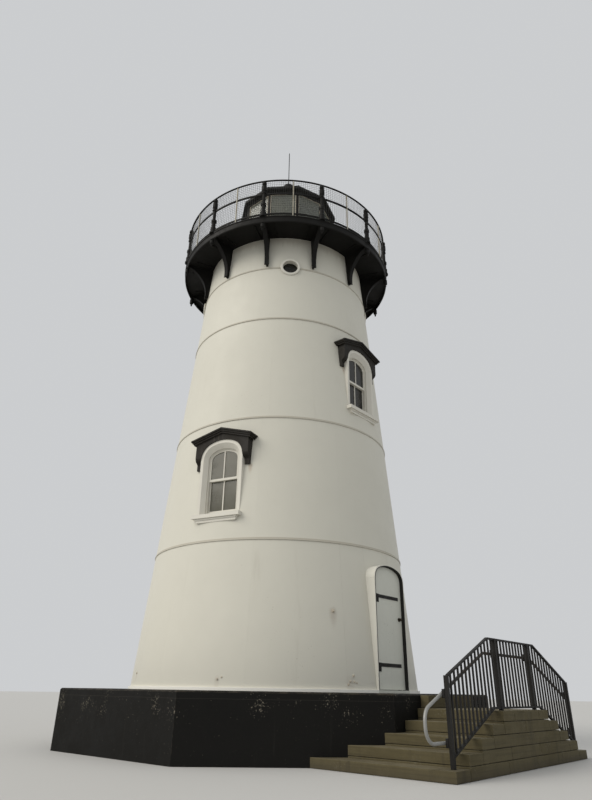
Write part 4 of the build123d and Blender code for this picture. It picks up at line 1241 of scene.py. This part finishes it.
def make_deck_ribs():
    """Two ribs in each bay between the consoles."""
    bm = bmesh.new()
    for bay in range(BAYS):
        for share in RIB_SHARES:
            add_block(bm, (RIB_INNER, -RIB_HALF, DECK_SOFFIT - RIB_DROP),
                      (RIB_OUTER, RIB_HALF, DECK_SOFFIT + RIB_BED), bevel=RIB_BEVEL,
                      turn=CONSOLE_START + (bay + share) * 360 / BAYS)
    return finish_piece("deck_under_ribs", bm, gallery_black, "tower",
                        smooth=False)


make_deck_ribs()
print("deck ribs:", len(RIB_SHARES) * BAYS)

# %% [markdown]
# ## Bolts on the door's hinges
#
# Round-headed bolts hold the strap hinges and their plates. Their depth could be typed
# in, but a ray cast onto the strap finds its face, and misses where there is no iron, so
# no bolt ever floats. They ride on the door.

# %% Bolts on the door's hinges
LEAF_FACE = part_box("door_leaf")[0].y
STRAP_LEVELS = (1.367, 2.497)
# Sideways places of the bolts on a strap and on its plate.
STRAP_BOLTS = (-0.355, -0.235, -0.115, 0.005, 0.125, 0.245)
PLATE_BOLTS = (-0.392, -0.33)
PLATE_RISE = 0.047
# Radius and height of each ring, from the iron outwards.
DOME = ((0.0095, -0.002), (0.0095, 0.002), (0.0068, 0.0055), (0.002, 0.0072))


def strap_depth(x, level):
    """The outer face of the strap at a place, read from the fixed frame."""
    strap = nodes["hinge_straps"]
    hit, place, _, _ = strap.ray_cast(Vector((x, LEAF_FACE - 1.0, level)), Vector((0, 1, 0)))
    return place.y if hit else None


def bolt_places():
    """Along each strap, then at the corners of its plate."""
    for level in STRAP_LEVELS:
        yield from ((x, level) for x in STRAP_BOLTS)
        yield from ((x, level + rise) for x in PLATE_BOLTS for rise in (-PLATE_RISE, PLATE_RISE))


def make_hinge_bolts():
    """A dome wherever the ray meets the iron of a strap."""
    bm = bmesh.new()
    count = 0
    for x, level in bolt_places():
        depth = strap_depth(x, level)
        if depth is not None:
            add_turned(bm, Vector((x, depth, level)), Vector((0, -1, 0)), DOME)
            count += 1
    print("hinge bolts:", count)
    return finish_piece("hinge_bolts", bm, rail_black, "door")


make_hinge_bolts()

# %% [markdown]
# ## Black strip round the doorway
#
# A thin black line follows the white frame's inner edge. A mask in the finish would be
# ragged on a curve this small, so it is a strip, 2 mm proud. Rays from the arch's middle
# find the edge to follow.

# %% Black strip round the doorway
STRIP_WIDTH = 0.011
STRIP_PROUD = 0.002
STRIP_LAP = 0.0015
STRIP_BED = 0.001
OPENING_REACH = 1.5
RAY_DEPTH = 0.02
FRAME_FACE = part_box("door_jambs")[0].y


def opening_line(steps=40):
    """Points of the doorway's inner edge, found on the fixed frame from the middle out."""
    middle = Vector((0.0, FRAME_FACE + RAY_DEPTH, ARCH_MIDDLE.z))
    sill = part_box("door_sill")[1].z
    line = []
    for step in range(steps + 1):
        turn = math.pi * step / steps
        ray = Vector((math.cos(turn), 0, math.sin(turn)))
        hits = [nodes[name].ray_cast(middle, ray, distance=OPENING_REACH)
                for name in ("door_jambs", "door_head")]
        places = [place for hit, place, _, _ in hits if hit]
        if places:
            line.append(min(places, key=lambda place: (place - middle).length))
    half = abs(line[0].x)
    return [Vector((half, 0, sill))] + line + [Vector((-half, 0, sill))], half


def strip_outward(line, i):
    """Away from the opening at a point of its edge: sideways along the jambs."""
    if i <= 1:
        return Vector((1, 0, 0))
    if i >= len(line) - 2:
        return Vector((-1, 0, 0))
    run = Vector((line[i + 1].x - line[i - 1].x, 0, line[i + 1].z - line[i - 1].z)).normalized()
    out = Vector((run.z, 0, -run.x))
    return out if out.dot(Vector((line[i].x, 0, line[i].z - ARCH_MIDDLE.z))) >= 0 else -out


def make_door_edge():
    """Sweep a thin four-sided section along the opening."""
    line, half = opening_line()
    bm = bmesh.new()
    rings = []
    for i, place in enumerate(line):
        out = strip_outward(line, i)
        seat = Vector((place.x, FRAME_FACE + STRIP_BED, place.z))
        rings.append([bm.verts.new(seat + aside * out + Vector((0, -proud, 0)))
                      for aside, proud in ((-STRIP_LAP, 0.0),
                                           (-STRIP_LAP, STRIP_PROUD + STRIP_BED),
                                           (STRIP_WIDTH, STRIP_PROUD),
                                           (STRIP_WIDTH + 0.001, 0.0))])
    join_rings(bm, rings)
    print("door edge half width:", round(half, 3), "points:", len(line))
    return finish_piece("door_edge_strip", bm, gallery_black, "tower",
                        smooth=False)


make_door_edge()

# %% [markdown]
# ## Old fittings near the ground
#
# A few bolts stand out of the lowest plates, and one small square fitting left of the
# door has rusted down the wall. Each is set on the cone at the angle and height where it
# is seen, and stands square to it, so it casts a true small shadow, which bump can't.

# %% Wall bolts and the small fitting
BOLT_SIZES = (0.017, 0.020, 0.017, 0.022, 0.015, 0.018, 0.015, 0.017)
BOLT_HEIGHT_SHARE = 0.8
FITTING_PLATE = ((0.034, -0.003), (0.034, 0.008), (0.027, 0.012))
FITTING_STUD = ((0.014, 0.010), (0.014, 0.026), (0.010, 0.030))

old_white = painted(
    "painted_bolt_white", (0.60, 0.57, 0.48), (0.40, 0.33, 0.24), tone=(14.0, 1.8),
    chips=((0.16, 0.08, 0.04), 0.7, {"fineness": 60.0, "amount": 0.3, "patch_size": 9.0}),
    rough=(0.6, 0.85), bump=(80.0, 0.5, 0.3, 0.002))


def wall_outward(angle):
    """Square to the sloping wall, pointing out."""
    return (polar(1.0, angle, 0.0) + Vector((0, 0, WALL_TAPER))).normalized()


def make_wall_bolts():
    """Hexagon heads on the wall, and a square plate with a stud."""
    bm = bmesh.new()
    for (angle, level), size in zip(OLD_BOLTS, BOLT_SIZES):
        add_bolt(bm, on_wall(angle, level), wall_outward(angle), size, size * BOLT_HEIGHT_SHARE)
    seat, outward = on_wall(*SMALL_FITTING), wall_outward(SMALL_FITTING[0])
    add_turned(bm, seat, outward, FITTING_PLATE, 4)
    add_turned(bm, seat, outward, FITTING_STUD, 8)
    return finish_piece("wall_bolts", bm, old_white, "tower", smooth=False)


make_wall_bolts()
print("wall fittings:", len(OLD_BOLTS) + 1)

# %% [markdown]
# ## Window stop beads
#
# A thin bead holds the sashes in from the outside. Seen from below it makes the double
# line inside the surround. Its path could be drawn again from the arch's radii, but a ray
# from the window's middle finds the splay of the fixed surround in every direction, so
# the bead always fits the frame that it sits in.

# %% Stop beads round the sashes
BEAD_WIDTH = 0.020
BEAD_PROUD = 0.014
BEAD_BURIED = 0.030
BEAD_SEAT = 0.004
# Inwards from the splay, and outwards from the sash.
BEAD_PROFILE = ((-0.002, -BEAD_BURIED), (-0.002, BEAD_PROUD * 0.7), (0.004, BEAD_PROUD),
                (BEAD_WIDTH - 0.005, BEAD_PROUD), (BEAD_WIDTH, BEAD_PROUD * 0.6),
                (BEAD_WIDTH, -BEAD_BURIED))
FIRST_RAY = -75.0
RAY_SWEEP = 330.0
FOOT_GAP = 0.01
UP = Vector((0, 0, 1))


def splay_outline(middle, across, low, reach=0.9, rays=56):
    """Places on the surround's splay round the window, from one foot to the other."""
    foot = low + BEAD_SEAT - middle.z
    line = []
    for i in range(rays + 1):
        angle = math.radians(FIRST_RAY + RAY_SWEEP * i / rays)
        ray = math.cos(angle) * across + math.sin(angle) * UP
        hit, place, _, _ = nodes["window_surrounds"].ray_cast(middle, ray, distance=reach)
        local = place - middle
        if hit and local.z > foot + FOOT_GAP:
            line.append((local.dot(across), local.z))
    return [(line[0][0], foot)] + line + [(line[-1][0], foot)]


def add_bead(bm, group):
    """One bead along the splay of the window whose glass has these corners."""
    middle = sum(group, Vector()) / len(group)
    outward = Vector((middle.x, middle.y, 0)).normalized()
    across = outward.cross(UP)
    sashes = [vert.co for vert in nodes["window_sashes"].data.vertices
              if one_window(vert.co, middle)]
    face = max(co.dot(outward) for co in sashes)
    low = min(co.z for co in sashes)
    centre = middle + outward * (face + BEAD_SEAT - middle.dot(outward))
    line = splay_outline(centre, across, low)
    rings = []
    for i, (u, w) in enumerate(line):
        before, after = line[max(i - 1, 0)], line[min(i + 1, len(line) - 1)]
        run = Vector((after[0] - before[0], after[1] - before[1])).normalized()
        inside = Vector((-run.y, run.x))
        rings.append([bm.verts.new(centre + (u + inside.x * step) * across
                                   + (w + inside.y * step) * UP + outward * rise)
                      for step, rise in BEAD_PROFILE])
    join_rings(bm, rings)


def make_stop_beads():
    """A bead for every window, also on the hidden side."""
    bm = bmesh.new()
    groups = gather("window_glass", one_window)
    for group in groups:
        add_bead(bm, group)
    print("windows with beads:", len(groups))
    return finish_piece("window_stop_beads", bm, trim_white, "tower",
                        smooth=False)


make_stop_beads()

# %% [markdown]
# ## Rolls on the hips of the roof
#
# Sheet metal meets on each hip of the lantern's roof, and a round roll covers the joint.
# Rays from above can slip between the two sheets there, so the roll's ends come from the
# roof's own corners instead, and it lies along the hip.

# %% Hip rolls on the lantern roof
LANTERN_SIDES = 10
ROLL_RADIUS = 0.013
ROLL_FOOT_RISE = 0.006
ROLL_HEAD_DROP = 0.01
NECK_GAP = 0.02
SAME_PLACE = 0.001


def make_hip_rolls():
    """A round roll from each corner of the eaves up to the ventilator's foot."""
    roof = [vert.co for vert in nodes["lantern_roof"].data.vertices]
    reach = max(co.xy.length for co in roof)
    neck = min(co.xy.length for co in roof)
    corner = max((co for co in roof if co.xy.length > reach - SAME_PLACE), key=lambda co: co.z)
    top = max(co.z for co in roof)
    first = math.degrees(math.atan2(corner.y, corner.x))
    bm = bmesh.new()
    for side in range(LANTERN_SIDES):
        angle = first + side * 360 / LANTERN_SIDES
        add_wire(bm, polar(reach - ROLL_RADIUS, angle, corner.z + ROLL_FOOT_RISE),
                 polar(neck + NECK_GAP, angle, top - ROLL_HEAD_DROP), ROLL_RADIUS, 8)
    print("hip rolls:", LANTERN_SIDES, "eaves radius", round(reach, 3))
    return finish_piece("roof_hip_rolls", bm, roof_black, "tower")


make_hip_rolls()

# %% [markdown]
# ## Beads round the lantern's panes
#
# Pale strips lie against the posts, the sill and the head, and hold each pane. From below
# they are the thin light lines beside the black posts. They could be painted on the
# glass, but a strip has a lit side and a shaded one. Each bay is measured from its pane.

# %% Beads round the lantern panes
PANE_BEAD_WIDTH = 0.017
PANE_BEAD_PROUD = 0.012
PANE_BEAD_BED = 0.001


def bay_glass(angle):
    """The outer face of the pane that looks this way: distance, half width, two heights."""
    back = Matrix.Rotation(-math.radians(angle), 3, "Z")
    glass = [back @ vert.co for vert in nodes["lantern_glass"].data.vertices]
    face = max(co.x for co in glass)
    pane = [co for co in glass if co.x > face - SAME_PLACE]
    return face, max(co.y for co in pane), min(co.z for co in pane), max(co.z for co in pane)


def make_pane_beads():
    """Four strips on the outside of each pane, along its edges."""
    corner = max((vert.co for vert in nodes["lantern_roof"].data.vertices),
                 key=lambda co: round(co.xy.length, 4))
    first = math.degrees(math.atan2(corner.y, corner.x)) + 180 / LANTERN_SIDES
    bm = bmesh.new()
    wide = PANE_BEAD_WIDTH
    for side in range(LANTERN_SIDES):
        angle = first + side * 360 / LANTERN_SIDES
        face, half, low, high = bay_glass(angle)
        back, front = face - PANE_BEAD_BED, face + PANE_BEAD_PROUD
        for left, right, foot, head in ((-half, wide - half, low, high),
                                        (half - wide, half, low, high),
                                        (wide - half, half - wide, low, low + wide),
                                        (wide - half, half - wide, high - wide, high)):
            add_block(bm, (back, left, foot), (front, right, head), turn=angle)
    print("pane beads:", LANTERN_SIDES, "bays, half width", round(half, 3),
          "from", round(low, 3), "to", round(high, 3))
    return finish_piece("lantern_pane_beads", bm, old_white, "tower",
                        smooth=False)


make_pane_beads()

# %% [markdown]
# ## Dressed stone steps
#
# Each tread is one long block of sandstone, and the landing is built of courses of
# blocks with staggered joints. The stones could be found by cutting up the fixed steps,
# but a stair is so regular that a few sizes give every place: a level's top, how far it
# stands forward, and the plinth's outline, which the blocks follow on their inner side.

# %% Sizes of the stair
STAIR_MIDDLE = -0.100
STEP_OUTER = -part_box("near_steps")[0].y
PLINTH_FACE = 3.7236
PLINTH_DIAGONAL = 5.266
PLINTH_CORNER = PLINTH_DIAGONAL - PLINTH_FACE
TREAD = 0.370
RISER = 0.152
FIRST_RISER = 0.132
LEVELS = 5
FIRST_FRONT = 2.295
BED_SHIFT = 0.024
JOINT = 0.002
TOP_DIP = 0.001
PLINTH_GAP = 0.003


def level_top(level):
    """The height of a level's top; level 0 is the ground."""
    return FIRST_RISER + (level - 1) * RISER - TOP_DIP if level else 0.0


def step_front(level):
    """How far a level reaches from the landing's middle."""
    return FIRST_FRONT - (level - 1) * TREAD


def plinth_edge(x):
    """The plinth's outline, seen from above, as a distance in front of the axis."""
    return min(PLINTH_FACE, PLINTH_DIAGONAL - abs(x)) + PLINTH_GAP


print("level tops:", [round(level_top(n), 3) for n in range(1, LEVELS + 1)])

# %% [markdown]
# ### One stone block
#
# A plain box would read as concrete: real blocks have worn arrises and faces that are
# never quite flat. Displacement would push faces outward, so every block is a grid over a
# box, its edges and faces pulled in a few millimetres by noise. It never grows past the
# solid that it stands for.

# %% One stone block
GRID = 0.085
EDGE_LINE = 0.014
LEAST_GAP = 0.006
ARRIS = 0.0018
DENT = 0.0042
# Scale of the noise, and its share of the dent.
DENT_SIZES = ((4.1, 0.6), (17.0, 0.4))
ARRIS_SIZE = 9.0


def stations(low, high, extra=()):
    """Grid lines from low to high: close to each edge, then evenly between."""
    count = max(1, round((high - low) / GRID))
    inner = [low + (high - low) * i / count for i in range(1, count)]
    near = [low + EDGE_LINE, high - EDGE_LINE]
    lines = sorted({low, high, *near, *inner, *[e for e in extra if low < e < high]})
    kept = [lines[0]]
    for line in lines[1:]:
        if line - kept[-1] > LEAST_GAP or line == high:
            kept.append(line)
    return kept


def add_stone(bm, x_low, x_high, z_low, z_high, outer, inner=None, wear=1.0):
    """A block between two x and two z; inner=None means that it runs to the plinth."""
    xs = stations(x_low, x_high, (-PLINTH_CORNER, PLINTH_CORNER))
    zs = stations(z_low, z_high)
    depth = outer - (inner or PLINTH_FACE)
    shares = [y / depth for y in stations(0.0, depth)]
    last = (len(xs) - 1, len(shares) - 1, len(zs) - 1)
    found = {}

    def corner(i, j, k):
        """The dented corner at a place of the grid, made once and then shared."""
        if (i, j, k) in found:
            return found[i, j, k]
        x, z = xs[i], zs[k]
        back = inner if inner is not None else plinth_edge(x)
        y = -(outer + shares[j] * (back - outer))
        ends = [(1 if n == 0 else -1 if n == top else 0) for n, top in zip((i, j, k), last)]
        place = Vector((x, y, z))
        push = sum(DENT * wear * (0.5 + 0.5 * noise.noise(place * size)) * share
                   for size, share in DENT_SIZES)
        if sum(map(abs, ends)) > 1:
            push += ARRIS * (0.8 + 0.5 * noise.noise(place * ARRIS_SIZE))
        place += push * Vector(ends)
        found[i, j, k] = bm.verts.new(place)
        return found[i, j, k]

    for fixed in range(3):
        first, second = [axis for axis in range(3) if axis != fixed]
        for end in (0, last[fixed]):
            for a in range(last[first]):
                for b in range(last[second]):
                    quad = []
                    for da, db in ((0, 0), (1, 0), (1, 1), (0, 1)):
                        index = [0, 0, 0]
                        index[fixed], index[first], index[second] = end, a + da, b + db
                        quad.append(corner(*index))
                    bm.faces.new(quad)


print("stone block ready, grid", GRID, "m")

# %% [markdown]
# ### Finish of the stone
#
# The stone is brown and uneven: dusty where it is trodden, banded by its own bedding, and
# damp near the ground. One noise can't do all three, so each has its own mask: the normal
# finds the treads, a squashed noise makes the beds, and height gives the damp.

# %% Finish of the stone
TREAD_TINT = (0.165, 0.142, 0.088)
BED_TINT = (0.045, 0.038, 0.024)
DAMP_TINT = (0.050, 0.043, 0.030)
DAMP_HEIGHT = 0.16


def weather_stone(tree, colour):
    """Lighter dusty treads, darker beds, and damp near the ground."""
    up = split(tree, own_normal(tree))[2]
    place = own_place(tree)
    patch = add_range(tree, add_noise(tree, place, 3.4, 5.0, 0.65), 0.35, 0.65, 0.3, 1.0)
    top = add_math(tree, "MULTIPLY", add_range(tree, up, 0.6, 0.9), patch)
    colour = lay_over(tree, colour, top, 0.75, TREAD_TINT)
    beds = add_vector(tree, "MULTIPLY", place, (0.7, 0.7, 26.0))
    bands = add_range(tree, add_noise(tree, beds, 1.6, 4.0, 0.6), 0.45, 0.7)
    colour = lay_over(tree, colour, bands, 0.35, BED_TINT)
    damp = add_range(tree, split(tree, place)[2], 0.0, DAMP_HEIGHT, 0.5, 0.0)
    return mix_colour(tree, damp, colour, DAMP_TINT)


step_stone = painted(
    "step_sandstone", (0.114, 0.096, 0.050), (0.084, 0.070, 0.037), tone=(1.5, 1.9),
    streak=((0.042, 0.036, 0.025), 0.65, {"width": 6.0, "coverage": 0.75}),
    chips=((0.17, 0.155, 0.115), 0.5, {"fineness": 38.0, "amount": 0.4, "patch_size": 2.0}),
    edge=((0.19, 0.168, 0.118), 0.5, {"radius": 0.010, "breakup": 16.0}),
    rough=(0.82, 0.97), specular=0.25, bump=(75.0, 0.8, 0.55, 0.005), extra=weather_stone)
print("stone finish:", step_stone.name)

# %% [markdown]
# ### Near and far flights
#
# Both flights are the same five treads, seen from the landing's middle. They could be
# mirrored, but mirrored dents would show, so one function makes both, with a side of -1
# or 1. Each tread's bed lies a little above the tread in front, and the joint there
# leaves the fine shadow line of a real bed.

# %% Near and far flights
def level_bed(level):
    """The under side of a level: the ground, or a joint above the level below."""
    return level_top(level - 1) + BED_SHIFT if level > 1 else 0.0


def finish_stones(name, bm, replaced):
    """Turn stones into a piece that shows in place of a fixed one."""
    piece = finish_piece(name, bm, step_stone, "tower", smooth=False)
    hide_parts(replaced)
    print(name, len(piece.data.polygons), "faces")
    return piece


def make_flight(name, side, replaced):
    """One long block for each tread, bedded on the course below."""
    bm = bmesh.new()
    for level in range(1, LEVELS + 1):
        front = step_front(level)
        back = front - TREAD + JOINT
        low, high = sorted((STAIR_MIDDLE + side * back, STAIR_MIDDLE + side * front))
        add_stone(bm, low, high, level_bed(level), level_top(level), STEP_OUTER)
    return finish_stones(name, bm, replaced)


make_flight("near_step_stones", -1, "near_steps")
make_flight("far_step_stones", 1, "far_steps")

# %% [markdown]
# ### Landing and door step
#
# A mason never lets upright joints line up from course to course. Each course is cut at
# equal lengths, and its cuts are then moved to one side or the other by turns, with a
# little seeded chance. The step at the door is a single block.

# %% Landing courses and door step
BLOCK_LENGTH = 1.05
STAGGER = 0.16
random.seed(11)


def block_cuts(half, stagger):
    """Places of the upright joints along a course that reaches half to each side."""
    count = max(1, round(2 * half / BLOCK_LENGTH))
    return [-half] + [-half + 2 * half * (i + stagger * random.uniform(0.6, 1.4)) / count
                      for i in range(1, count)] + [half]


def make_landing():
    """Courses of blocks whose upright joints never line up with those below."""
    bm = bmesh.new()
    for level in range(1, LEVELS + 1):
        top = level_top(level) + (BED_SHIFT - JOINT if level < LEVELS else 0.0)
        cuts = block_cuts(step_front(level) - TREAD, STAGGER * (1 if level % 2 else -1))
        for low, high in zip(cuts, cuts[1:]):
            add_stone(bm, STAIR_MIDDLE + low + JOINT / 2, STAIR_MIDDLE + high - JOINT / 2,
                      level_bed(level), top, STEP_OUTER)
    return finish_stones("landing_stones", bm, "landing_courses")


def make_door_step():
    """One worn block, as large as the fixed step."""
    low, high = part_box("door_step")
    bm = bmesh.new()
    add_stone(bm, low.x, high.x, low.z, high.z, -low.y, -high.y, wear=0.8)
    return finish_stones("door_step_stone", bm, "door_step")


make_landing()
make_door_step()

# %% [markdown]
# ## Brackets on the stair rail
#
# Each arm of the handrail comes out of a bolted box on its post. Typed places would part
# from the arms if a size changed, so each box is found from its own arm's corners.

# %% Bracket boxes
SAME_ARM = 0.09
BOX_HALF_WIDTH = 0.034
BOX_HALF_HEIGHT = 0.052
BOX_DEPTH = 0.036
BOX_BOLT_RISE = 0.038
BOX_BOLT_RADIUS = 0.008
BOX_BOLT_HEIGHT = 0.006


def one_arm(first, second):
    """True for two places that belong to one arm."""
    return abs(first.x - second.x) < SAME_ARM and abs(first.z - second.z) < SAME_ARM


def make_bracket_boxes():
    """A box with two bolts where each arm leaves its post."""
    bm = bmesh.new()
    arms = gather("handrail_brackets", one_arm)
    for arm in arms:
        low, high = (Vector([pick(co[i] for co in arm) for i in range(3)]) for pick in (min, max))
        middle = (low + high) / 2
        face = low.y + BOX_DEPTH
        add_block(bm, (middle.x - BOX_HALF_WIDTH, low.y, middle.z - BOX_HALF_HEIGHT),
                  (middle.x + BOX_HALF_WIDTH, face, middle.z + BOX_HALF_HEIGHT), bevel=0.004)
        for rise in (-BOX_BOLT_RISE, BOX_BOLT_RISE):
            add_bolt(bm, Vector((middle.x, face, middle.z + rise)), Vector((0, 1, 0)),
                     BOX_BOLT_RADIUS, BOX_BOLT_HEIGHT)
    print("bracket boxes:", len(arms))
    return finish_piece("rail_bracket_boxes", bm, rail_black, "tower",
                        smooth=False)


make_bracket_boxes()
